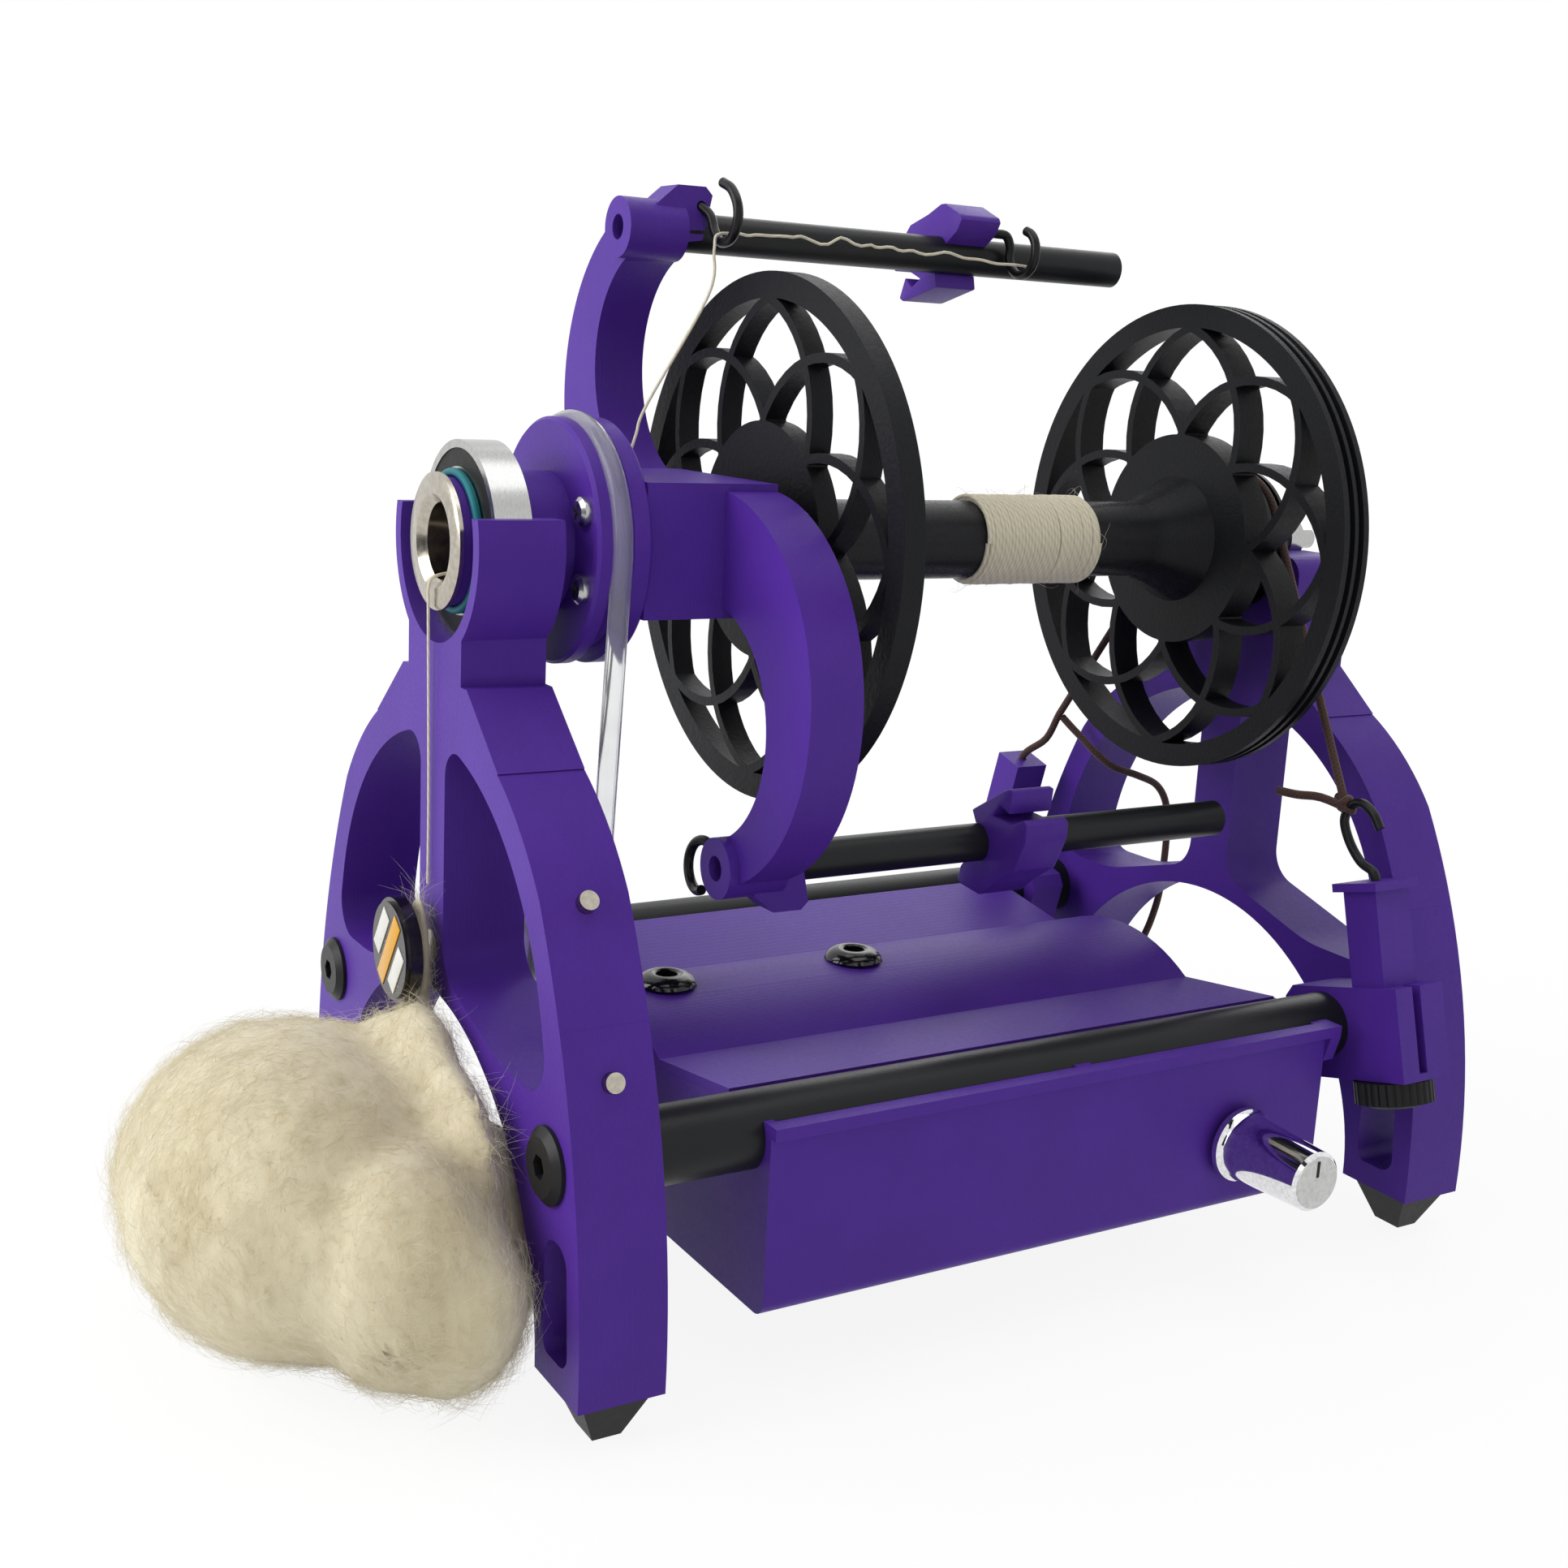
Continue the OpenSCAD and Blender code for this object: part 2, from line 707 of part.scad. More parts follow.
upper_hook_y = arm_back_y + 6;
upper_stem = [[-34, upper_hook_y - 2, 83.8], [-29, upper_hook_y - 1.6, 82.7]];
upper_hook_path = concat(upper_stem, [for (p = [[-25.6, 80.2], [-22.7, 76.1], [-19, 73.4], [-13.6, 74.4],
    [-10.9, 78.4], [-11.4, 82.5], [-14.7, 86.2], [-19.4, 88]]) [p[0], upper_hook_y, p[1]]]);
lower_hook_y = arm_y + 4;
lower_stem = [[34, lower_hook_y + 6, -83.7], [27.5, lower_hook_y + 6, -83.7]];
lower_loop_center = [16.5, -79.6];
lower_loop_r = 6.3;
lower_hook_path = concat(lower_stem, [[24.6, lower_hook_y + 3.6, -82.6]],
    [for (a = [0:25:300]) [lower_loop_center[0] + lower_loop_r * cos(a), lower_hook_y - a / 100,
        lower_loop_center[1] + lower_loop_r * sin(a)]]);

module half_arm() {
    slab_y(arm_y, arm_back_y) mirror([1, 0]) mirror([0, 1]) arm_profile();
    translate([rod_center[0], 0, rod_center[1]]) rod_y(boss_r, arm_y - 2.6, arm_back_y);
    hook_block();
}

module half_arm_cuts() {
    translate([rod_center[0], 0, rod_center[1]]) {
        rod_y(rod_d / 2 + 0.02, rod_y, arm_back_y + 20);
        rod_y(3.15, arm_y - 4, rod_y + 1);
    }
}

module both_sides() {
    children();
    rotate([0, 180, 0]) children();
}

module flyer_arms() {
    color(purple) on_table() difference() {
        union() {
            rod_y(tube_r, grommet_y + grommet_lip_t + snug, pulley_back_y + 1);
            slab_y(pulley_back_y, arm_back_y)
                translate([-hub_half_x, -hub_half_z]) square([2 * hub_half_x, 2 * hub_half_z]);
            both_sides() half_arm();
        }
        both_sides() half_arm_cuts();
        for (stem = [upper_stem, lower_stem])
            rod_between(stem[0], stem[1] + 2 * (stem[1] - stem[0]), wire_d / 2 + snug);
        pulley_screw_spots() rod_y(screw_shank_r + snug, 1, screw_shank_len + 1);
        rod_y(sleeve_r + snug, grommet_y, sleeve_end_y + snug);
        rod_y(orifice_d / 2, sleeve_end_y - 1, yarn_hole_y + 5);
        rod_y(shaft_d / 2 + 0.01, arm_y + 1, arm_back_y + 1);
        rod_between([0, yarn_hole_y, 0], [-9, yarn_hole_y, hub_half_z + 6], 4.5);
    }
}

module rod_at(x, z) {
    difference() {
        rod_y(rod_d / 2, rod_y + snug, rod_y + rod_len, x, z);
        rod_y(2.5, rod_y, rod_y + 20, x, z);
    }
}

module upper_rod() {
    color(black) on_table() rod_at(rod_center[0], rod_center[1]);
}

module lower_rod() {
    color(black) on_table() rod_at(-rod_center[0], -rod_center[1]);
}

module upper_fixed_hook() {
    color(black) on_table() tube(spline(upper_hook_path, 3), wire_d);
}

module lower_fixed_hook() {
    color(black) on_table() tube(spline(lower_hook_path, 2), wire_d);
}

module flyer_shaft() {
    color(steel) on_table() rod_y(shaft_d / 2, arm_y + 1.05, shaft_end_y);
}

// Clip on a rod: v points out through the block, y runs along the rod
clip_angle = 64;
clip_ring_r = rod_d / 2 + 3.2;
clip_stem = [7, clip_len - 7, 6.6];
module clip_body() {
    difference() {
        intersection() {
            rotate([0, 90 - clip_angle, 0]) slab_y(0, clip_len) union() {
                circle(clip_ring_r);
                translate([-6, 0]) square([12, 14]);
                polygon([[-4, -3], [-7.4, -6], [-6.4, -12], [6.4, -12], [7.4, -6], [4, -3]]);
            }
            rotate([0, 90 - clip_angle, 0]) translate([-20, 0, 0]) rotate([90, 0, 90]) linear_extrude(40)
                polygon([[0, -9], [3, -13], [clip_len, -13], [clip_len, 11], [clip_len - 3, 14], [5, 14], [0, 7]]);
        }
        rod_y(rod_d / 2 + run_gap, -1, clip_len + 1);
        rotate([0, 90 - clip_angle, 0]) slab_y(-1, clip_len + 1)
            polygon([[-3, 0], [-3.4, -9], [-4, -14], [4, -14], [3.4, -9], [3, 0]]);
        translate(clip_stem) rotate([-90, 0, 0]) cylinder(h = 10, r = wire_d / 2 + snug);
    }
}

loop_center = [13, 1.6];
loop_r = 6;
clip_hook_path = concat(
    [clip_stem + [0, 1, 0], clip_stem + [0, 5, 0], [7, clip_len + 1.5, 6.2]],
    [for (a = [165:25:440]) [loop_center[0] + loop_r * cos(a), clip_len + 3, loop_center[1] + loop_r * sin(a)]]);

module on_upper_rod(y) {
    translate([rod_center[0], y, rod_center[1]]) children();
}

upper_clip_y = 150;
lower_clip_y = 128;
module upper_clip() {
    color(purple) on_table() on_upper_rod(upper_clip_y) clip_body();
}

module upper_clip_hook() {
    color(black) on_table() on_upper_rod(upper_clip_y) tube(spline(clip_hook_path, 2), wire_d);
}

module lower_clip() {
    color(purple) on_table() rotate([0, 180, 0]) on_upper_rod(lower_clip_y) clip_body();
}

module lower_clip_hook() {
    color(black) on_table() rotate([0, 180, 0]) on_upper_rod(lower_clip_y) tube(spline(clip_hook_path, 2), wire_d);
}

// ---- Bobbin ----

lattice_nodes = 8;
lattice_angle = 90;
rim_inner_r = flange_r - rim_w;
rim_groove = 1.4;
rib_center = [29.37, -9.52];
rib_r = 32.1;
rib_from = 14;
rib_to = 108;

function rib_outline(n = 12) =
    concat(
        [for (i = [0:n]) let (a = rib_from + (rib_to - rib_from) * i / n)
            rib_center + (rib_r + rib_t / 2) * [cos(a), sin(a)]],
        [for (i = [n:-1:0]) let (a = rib_from + (rib_to - rib_from) * i / n)
            rib_center + (rib_r - rib_t / 2) * [cos(a), sin(a)]]);

module lattice_profile() {
    difference() {
        circle(bobbin_hub_r);
        circle(core_r + snug);
    }
    intersection() {
        for (i = [0:lattice_nodes - 1]) rotate(lattice_angle + 360 * i / lattice_nodes) {
            polygon(rib_outline());
            mirror([0, 1]) polygon(rib_outline());
        }
        difference() {
            circle(rim_inner_r + 1);
            circle(bobbin_hub_r - 1);
        }
    }
}

front_boss_y = arm_back_y + 2;
module bobbin_front_flange() {
    color(black) on_table() {
        slab_y(flange_y, flange_y + front_flange_t) lattice_profile();
        ring_y(flange_r, rim_inner_r, flange_y, flange_y + front_flange_t);
        ring_y(13, core_r + snug, flange_y - 4, flange_y);
    }
}

module bobbin_rear_flange() {
    color(black) on_table() {
        slab_y(rear_flange_y, rear_flange_y + rear_flange_t) lattice_profile();
        translate([0, rear_flange_y, 0]) turned_y() polygon(concat(
            [[rim_inner_r, 0], [flange_r, 0]],
            [for (y = [0.32, 0.68], p = [[0, -1], [-rim_groove, -0.7], [-rim_groove, 0.7], [0, 1]])
                [flange_r + p[0], rear_flange_t * y + p[1]]],
            [[flange_r, rear_flange_t], [rim_inner_r, rear_flange_t]]));
    }
}

// Core with a flared end, then the rear hub with the brake groove
cone_y = 205;
cone_r = 18;
rear_hub_r = brake_r + 2.4;
module bobbin_core() {
    rear_back = rear_flange_y + rear_flange_t;
    color(black) on_table() difference() {
        union() {
            rod_y(core_r, front_boss_y, rear_back);
            translate([0, rear_flange_y - snug, 0]) rotate([90, 0, 0])
                cylinder(h = rear_flange_y - cone_y, r1 = cone_r, r2 = core_r);
            rod_y(rear_hub_r, rear_back + snug, groove_y - groove_half);
            rod_y(brake_r, rear_back, hub_end_y);
            rod_y(rear_hub_r, groove_y + groove_half, hub_end_y);
        }
        rod_y(bobbin_bore_r, front_boss_y - 1, hub_end_y + 1);
    }
}

module bobbin_bushes() {
    color(nickel) on_table() for (y0 = [front_boss_y, hub_end_y - 8])
        ring_y(bobbin_bore_r - 0.02, shaft_d / 2 + run_gap, y0, y0 + 8);
}

yarn_core_r = core_r + 0.6;
wound_center_r = yarn_core_r + snug + wound_yarn_d / 2;
wound_pitch = (wound_len - wound_yarn_d) / wound_turns;
echo(yarn_turn_gap = wound_pitch - wound_yarn_d);
module yarn_core() {
    color(cream) on_table() ring_y(yarn_core_r, core_r + snug, wound_y, wound_y + wound_len);
}

rings_per_turn = 24;
wound_path = [for (i = [0:wound_turns * rings_per_turn])
    let (a = 360 * i / rings_per_turn)
    [wound_center_r * cos(a), wound_y + wound_yarn_d / 2 + wound_pitch * i / rings_per_turn,
        wound_center_r * sin(a)]];
wound_first = wound_path[0] - wound_yarn_d * unit(wound_path[1] - wound_path[0]);
wound_last = wound_path[len(wound_path) - 1]
    + wound_yarn_d * unit(wound_path[len(wound_path) - 1] - wound_path[len(wound_path) - 2]);

module yarn_turns() {
    color(cream) on_table() tube(concat([wound_first], wound_path, [wound_last]), wound_yarn_d, 6);
}

// ---- Motor and belt ----

motor_front_y = housing_y + wall;
module motor() {
    color(steel) on_table() translate([0, 0, motor_z]) difference() {
        union() {
            rod_y(motor_d / 2, motor_front_y, motor_front_y + motor_len);
            rod_y(5, housing_y, motor_front_y);
            rod_y(4, motor_front_y + motor_len, motor_front_y + motor_len + 3);
        }
        rod_y(motor_shaft_d / 2 + run_gap, housing_y - 1, motor_front_y + 15);
        for (x = [-9, 9]) rod_y(1.25 + snug, housing_y, motor_front_y + 6, x);
    }
}

module motor_screws() {
    color(black) on_table() for (x = [-9, 9]) translate([x, 0, motor_z]) {
        rod_y(2.4, housing_y - 1.8, housing_y);
        rod_y(1.25, housing_y, motor_front_y + 5);
    }
}

module motor_pulley() {
    y1 = belt_y - groove_w / 2;
    y2 = belt_y + groove_w / 2;
    color(black) on_table() translate([0, 0, motor_z]) {
        turned_y() polygon([
            [motor_shaft_d / 2, y1 - 2], [motor_flange_r, y1 - 2], [motor_flange_r, y1],
            [motor_groove_r, y1 + 0.6], [motor_groove_r, y2 - 0.6], [motor_flange_r, y2],
            [motor_flange_r, y2 + 2], [5, y2 + 2], [5, y2 + 6], [motor_shaft_d / 2, y2 + 6]
        ]);
        rod_y(motor_shaft_d / 2, y1 - 2, motor_front_y + 14);
    }
}

belt_lean = asin((belt_big_r - belt_small_r) / -motor_z);
belt_path = concat(
    [for (i = [0:22]) let (a = -belt_lean + (180 + 2 * belt_lean) * i / 22)
        [belt_big_r * cos(a), belt_y, belt_big_r * sin(a)]],
    [for (i = [0:14]) let (a = 180 + belt_lean + (180 - 2 * belt_lean) * i / 14)
        [belt_small_r * cos(a), belt_y, motor_z + belt_small_r * sin(a)]]);

module drive_belt() {
    color([0.85, 0.88, 0.9, 0.5]) on_table() tube(belt_path, belt_d, 8, true);
}

// ---- Housing ----

bottom_z = -housing_drop;
inner_half = housing_half - wall;
module housing_outline(inset, top) {
    h = housing_half - inset;
    low = bottom_z + inset;
    r = 4 - inset / 2;
    polygon(rounded([[h, top, 0], [-h, top, 0], [-h, low, r], [h, low, r]]));
}

module end_wall_outline() {
    polygon(concat([[inner_half + 1, lip_z]], cover_line(wall + snug), [[-inner_half - 1, lip_z],
        [-inner_half - 1, bottom_z + 1], [inner_half + 1, bottom_z + 1]]));
}

module end_wall(y0, t) {
    slab_y(y0, y0 + t) end_wall_outline();
}

module rail_slots() {
    for (side = [-1, 1])
        rod_y(rail_d / 2 + snug, housing_y - 1, housing_end_y + 20, side * rail_x, -rail_drop);
}

module trough(y0, y1) {
    difference() {
        slab_y(y0, y1) housing_outline(0, lip_z);
        slab_y(y0 - 1, y1 + 1) housing_outline(wall, lip_z + 5);
    }
    for (side = [0, 1]) mirror([side, 0, 0])
        translate([housing_half - 1, y0, lip_z - lip_h]) cube([lip_out + 1, y1 - y0, lip_h]);
}

window_half = 30;
module housing_front() {
    color(purple) on_table() difference() {
        union() {
            trough(housing_y, seam_y);
            end_wall(housing_y, wall);
            end_wall(seam_y - wall, wall);
        }
        rail_slots();
        rod_y(5 + snug, housing_y - 1, housing_y + 5, 0, motor_z);
        for (x = [-9, 9]) rod_y(1.25 + snug, housing_y - 1, housing_y + 5, x, motor_z);
        translate([-window_half, seam_y - 5, -158]) cube([2 * window_half, 6, 24]);
    }
}

inlet_x = -42;
inlet_z = -150;
inlet_r = 5.5;
board_y = 150;
board_size = [60, 40, 1.6];
board_x = -30;
standoff_h = 3;
module standoff_spots() {
    for (x = [5, board_size[0] - 5], y = [5, board_size[1] - 5])
        translate([board_x + x, board_y + y, 0]) children();
}

// The saddle behind the rear wall that grips each rail
saddle_t = 3.5;
module rail_saddles() {
    for (side = [0, 1]) mirror([side, 0, 0]) slab_y(housing_end_y - 0.1, housing_end_y + saddle_t)
        polygon([[60, lip_z - 10], [housing_half, lip_z - 10], [housing_half + lip_out, lip_z - lip_h],
            [housing_half + lip_out, lip_z], [60, lip_z]]);
}

module housing_rear() {
    color(purple) on_table() difference() {
        union() {
            trough(seam_y, housing_end_y);
            end_wall(seam_y, wall);
            end_wall(housing_end_y - wall, wall);
            rail_saddles();
            standoff_spots() translate([0, 0, bottom_z + 1]) cylinder(h = wall - 1 + standoff_h, r = 2.5);
        }
        rail_slots();
        translate([-window_half, seam_y - 1, -158]) cube([2 * window_half, 6, 24]);
        translate([housing_half - 5, knob_y, knob_z]) rotate([0, 90, 0]) cylinder(h = 10, r = 3.5 + snug);
        rod_y(inlet_r + snug, housing_end_y - 5, housing_end_y + 5, inlet_x, inlet_z);
    }
}

module cover(y0, y1) {
    slab_y(y0, y1) polygon(concat(cover_line(0), reversed(cover_line(wall))));
}

grommet_spots = [housing_y + 16.5, housing_y + 74.8];
grommet_hole_r = 5;
grommet_flange_r = 8;
grommet_seat = 0.7;
module cover_grommet_seats() {
    for (y = grommet_spots) translate([0, y, 0]) {
        translate([0, 0, hump_top_z - wall - 2]) cylinder(h = wall + 4, r = grommet_hole_r);
        translate([0, 0, hump_top_z - grommet_seat]) cylinder(h = 5, r = grommet_flange_r + snug);
    }
}

module cover_front() {
    color(purple) on_table() difference() {
        cover(housing_y, seam_y - 1);
        cover_grommet_seats();
    }
}

module cover_rear() {
    color(purple) on_table() cover(seam_y - 1, housing_end_y);
}

module cover_grommets() {
    color(black) on_table() for (y = grommet_spots) translate([0, y, hump_top_z - grommet_seat])
        rotate_extrude() polygon([[2.1, 2.6], [3, 3.9], [5.6, 3.9], [7.4, 2.6], [grommet_flange_r, 1], [grommet_flange_r, 0],
            [grommet_hole_r - snug, 0], [grommet_hole_r - snug, grommet_seat - wall], [2.1, grommet_seat - wall]]);
}

module control_board() {
    color("darkgreen") on_table() translate([board_x, board_y, bottom_z + wall + standoff_h]) {
        cube(board_size);
        translate([8, 12, board_size[2]]) cube([14, 14, 4]);
        translate([30, 20, board_size[2]]) cylinder(h = 12, r = 5);
        translate([45, 10, board_size[2]]) cube([9, 22, 8]);
    }
}

control_depth = 9;
module speed_control() {
    color(steel) on_table() translate([inner_half, knob_y, knob_z]) rotate([0, 90, 0]) difference() {
        union() {
            translate([0, 0, -control_depth]) cylinder(h = control_depth, r = 8);
            cylinder(h = wall + 5, r = 3.5);
            translate([0, 0, wall]) cylinder(h = 1.6, r = 5.2, $fn = 6);
        }
        translate([0, 0, -control_depth + 2]) cylinder(h = control_depth + wall + 5, r = control_shaft_r + run_gap);
    }
}

knob_skirt_r = 9.9;
knob_top_r = 7.85;
module speed_knob() {
    shaft_x = inner_half - control_depth + 3 - knob_x;
    color(steel) on_table() translate([knob_x, knob_y, knob_z]) rotate([0, 90, 0]) {
        difference() {
            rotate_extrude() polygon([[0, 0], [knob_skirt_r, 0], [knob_skirt_r, 1.6], [knob_skirt_r - 0.6, 2.4],
                [knob_top_r + 1, 3.4], [knob_top_r, knob_len - 0.8], [knob_top_r - 0.8, knob_len], [0, knob_len]]);
            translate([0, 0, -1]) cylinder(h = 4, r = 6);
        }
        translate([0, 0, shaft_x]) cylinder(h = 4 - shaft_x, r = control_shaft_r);
    }
}

module power_inlet() {
    color(black) on_table() difference() {
        union() {
            rod_y(inlet_r, housing_end_y - 12, housing_end_y, inlet_x, inlet_z);
            rod_y(inlet_r + 2, housing_end_y, housing_end_y + 2, inlet_x, inlet_z);
            rod_y(inlet_r + 1.5, housing_end_y - wall - 2, housing_end_y - wall, inlet_x, inlet_z);
        }
        difference() {
            rod_y(2.75, housing_end_y - 9, housing_end_y + 3, inlet_x, inlet_z);
            rod_y(1.05, housing_end_y - 9, housing_end_y, inlet_x, inlet_z);
        }
    }
}

// ---- Brake ----

// Extrudes a (u, v) outline along y in the post's frame on the right rail
module on_right_rail() {
    translate([rail_x, 0, -rail_drop]) rotate([0, -post_lean, 0]) children();
}

block_u0 = -13;
block_u1 = 27;
post_u0 = post_u - post_w / 2;
post_u1 = post_u + post_w / 2;
floor_t = 2;
module tension_block() {
    color(purple) on_table() on_right_rail() difference() {
        slab_y(clamp_y, clamp_y + clamp_t)
            polygon([[block_u0, block_v0 + 4], [block_u0 + 4, block_v0], [block_u1, block_v0],
                [block_u1, block_v1], [block_u0 + 3, block_v1], [block_u0, block_v1 - 3]]);
        rod_y(rail_d / 2 + snug, clamp_y - 1, clamp_y + clamp_t + 1);
        translate([post_u0 - slip, slider_y0 - slip, block_v0 + floor_t])
            cube([post_w + 2 * slip, slider_y1 - slider_y0 + 2 * slip, 40]);
        translate([post_u1 - 1, slider_mid_y - 1.5, block_v0 + floor_t]) cube([20, 3, 40]);
        translate([post_u, slider_mid_y, block_v0 - 1]) cylinder(h = 5, r = screw_r + run_gap);
    }
}

slider_bottom = -5;
slider_flange = 2.3;
module tension_slider() {
    color(purple) on_table() on_right_rail() difference() {
        union() {
            translate([post_u0, slider_y0, slider_bottom]) cube([post_w, slider_y1 - slider_y0, slider_top - slider_bottom]);
            translate([post_u0 - 2, slider_y0 - 2, slider_top - slider_flange])
                cube([post_w + 4, slider_y1 - slider_y0 + 4, slider_flange]);
        }
        translate([post_u, slider_mid_y, slider_bottom - 1]) cylinder(h = 26, r = screw_r + run_gap);
        translate([post_u, slider_mid_y, slider_top - 8]) cylinder(h = 9, r = wire_d / 2 + snug);
    }
}

hook_tip_z = -64.5;
slider_hook_path = [
    on_post(post_u, slider_mid_y, slider_top - 7), on_post(post_u, slider_mid_y, slider_top - 3),
    on_post(post_u, slider_mid_y, slider_top + 2), [72.2, slider_mid_y, -80.5], [67.5, slider_mid_y, -76],
    [64.8, slider_mid_y, -70.5], [66.6, slider_mid_y, -66], [70.5, slider_mid_y, hook_tip_z],
    [74.6, slider_mid_y, -66.5], [77.5, slider_mid_y, -70]
];
module slider_hook() {
    color(black) on_table() tube(spline(slider_hook_path, 2), wire_d);
}

module thumbwheel() {
    wheel_v = block_v0 - 0.3;
    color(black) on_table() on_right_rail() translate([post_u, slider_mid_y, 0]) {
        difference() {
            translate([0, 0, wheel_v - wheel_t]) cylinder(h = wheel_t, r = wheel_r);
            for (i = [0:29]) rotate([0, 0, 12 * i]) translate([wheel_r + 0.35, 0, wheel_v - wheel_t - 1])
                cylinder(h = wheel_t + 2, r = 0.75, $fn = 6);
        }
        translate([0, 0, wheel_v - wheel_t - 1.2]) cylinder(h = 1.2, r1 = wheel_r - 4, r2 = wheel_r - 2);
        translate([0, 0, wheel_v]) cylinder(h = 26, r = screw_r);
        translate([0, 0, block_v0 + floor_t + 0.1]) cylinder(h = 1.4, r = screw_r + 1.6);
    }
}

left_post_top = 41;
module left_cord_post() {
    color(purple) on_table() mirror([1, 0, 0]) on_right_rail() difference() {
        union() {
            slab_y(clamp_y + 1, clamp_y + 13)
                polygon([[block_u0, block_v0 + 4], [block_u0 + 4, block_v0], [left_post_u1, block_v0],
                    [left_post_u1, block_v1], [block_u0 + 3, block_v1], [block_u0, block_v1 - 3]]);
            translate([post_u0, clamp_y + 1, 0]) cube([post_w, 12, left_post_top]);
        }
        rod_y(rail_d / 2 + snug, clamp_y - 1, clamp_y + clamp_t + 1);
        translate([post_u, clamp_y + 7, left_post_top - 9]) cylinder(h = 10, r = cord_d / 2 + snug);
    }
}

// The brake cord leaves the groove towards each side's knot
left_knot = [-65, 237, -65];
right_knot = [64.2, slider_mid_y, -65.8];
function mirrored(p) = [-p[0], p[1], p[2]];
left_post_hole = mirrored(on_post(post_u, clamp_y + 7, left_post_top - 8));
left_post_mouth = mirrored(on_post(post_u, clamp_y + 7, left_post_top + 1.5));
function tangent_angle(knot, sign) =
    atan2(knot[2], knot[0]) + sign * acos(cord_loop_r / norm([knot[0], knot[2]]));
loop_start = tangent_angle(right_knot, 1);
loop_end = 360 + tangent_angle(left_knot, -1);
loop_path = [for (i = [0:12]) let (a = loop_start + (loop_end - loop_start) * i / 12)
    [cord_loop_r * cos(a), groove_y, cord_loop_r * sin(a)]];
right_cord_top = loop_path[0];
knot_r = 2.1;
right_cord_end = right_knot + (knot_r + 0.2) * unit(right_cord_top - right_knot);

module brake_cord() {
    left_top = loop_path[12];
    color(brown) on_table() tube(
        concat(loop_path, [for (t = [0.25, 0.5, 0.75]) left_top + t * (left_knot - left_top)],
            [left_knot, left_knot + [-4.5, -1, -9], left_post_mouth, left_post_hole]),
        cord_d);
}

// Knot on the slider's hook, with the cord's short end
module brake_knot() {
    color(brown) on_table() {
        translate(right_knot) sphere(knot_r, $fn = 24);
        rod_between(right_knot, right_knot + [-17, -8.5, 0.5], cord_d / 2);
    }
}

module brake_cord_right() {
    start = right_cord_top + snug * unit(right_knot - right_cord_top);
    color(brown) on_table() tube([start, (start + right_cord_end) / 2, right_cord_end], cord_d);
}

// Free end of the brake cord, through the rear stand's hole and down behind it
tail_points = [
    [-64.5, 238, -65.6], [-61, 240, -69], [-57, 241.5, -72], [-52, 243.5, -76], [-48, 248, -80], [-46.5, 257, -83],
    [-46.5, 266, -87], [-46.5, 271, -94], [-46, 272, -104], [-46, 272, -115], [-47, 272, -126],
    [-49, 271.5, -135], [-51, 271, -141]
];
module brake_tail() {
    color(brown) on_table() tube(spline(tail_points, 4), cord_d);
}

// ---- Yarn and fibre ----

feed_points = [
    [0, front_y - 0.9, button_z + button_d / 2 + 3], [0, front_y - 0.9, -60], [0, front_y - 1.3, -30],
    [0, grommet_y - 0.9, -16], [0, grommet_y - 0.9, -10.5], [0, grommet_y + 0.6, -8.2], [0, 0, -6.9],
    [0, 8, -4], [0, 18, -1]
];
module feed_yarn() {
    color(cream) on_table() tube(spline(feed_points, 3), strand_d, 6);
}

flyer_yarn_points = [
    [0, 20, 0], [0, 38, 0], [-2, 44, 4], [-7, yarn_hole_y, 15], [-9.5, 50, 25], [-11.5, 54, 33],
    [-16.6, 72.6, 60], [-17.8, upper_hook_y - 2.6, 71], [-18.2, upper_hook_y - 2.1, 74.6],
    [-18.4, upper_hook_y - 0.3, 75.6]
];
module flyer_yarn() {
    color(cream) on_table() tube(spline(flyer_yarn_points, 3), strand_d, 6);
}

rod_yarn_points = [
    [-18.4, upper_hook_y - 0.1, 75.6], [-20, 95, 76.2], [-20.8, 120, 76], [-20.6, 145, 75.4], [-20.3, 177, 73.9]
];
module rod_yarn() {
    color(cream) on_table() tube(spline(rod_yarn_points, 3), strand_d, 6);
}

// The bundle of fibre through the arch, with its drawn-out top behind the button
module fibre_bundle() {
    color(cream) on_table() union() {
        translate(fibre_center) scale(fibre_semi) sphere(1, $fn = 28);
        translate(fibre_lobe_center) scale(fibre_lobe_semi) sphere(1, $fn = 20);
        translate(fibre_neck_center) scale(fibre_neck_semi) sphere(1, $fn = 20);
        translate([0, front_y - fibre_gap / 2, button_z - 8]) scale([9, fibre_gap / 2 - 0.2, 24]) sphere(1, $fn = 16);
    }
}

front_stand();
rear_stand();
rails();
rail_bolts();
rubber_feet();
stand_magnets();
button_magnet();
front_bearing_outer_ring();
front_bearing_balls();
front_bearing_seals();
rear_bearing_outer_ring();
rear_bearing_balls();
housing_front();
housing_rear();
cover_front();
cover_rear();
cover_grommets();
motor();
motor_screws();
drive_belt();
control_board();
speed_control();
power_inlet();
tension_block();
left_cord_post();
brake_cord();
brake_cord_right();
brake_tail();
front_bearing_inner_ring();
rear_bearing_inner_ring();
o_ring();
orifice_grommet();
flyer_pulley();
flyer_arms();
pulley_screws();
upper_rod();
lower_rod();
upper_fixed_hook();
lower_fixed_hook();
flyer_shaft();
flyer_yarn();
rod_yarn();
upper_clip();
upper_clip_hook();
lower_clip();
lower_clip_hook();
bobbin_front_flange();
bobbin_rear_flange();
bobbin_core();
bobbin_bushes();
yarn_core();
yarn_turns();
motor_pulley();
speed_knob();
tension_slider();
slider_hook();
brake_knot();
thumbwheel();
feed_yarn();
fibre_bundle();
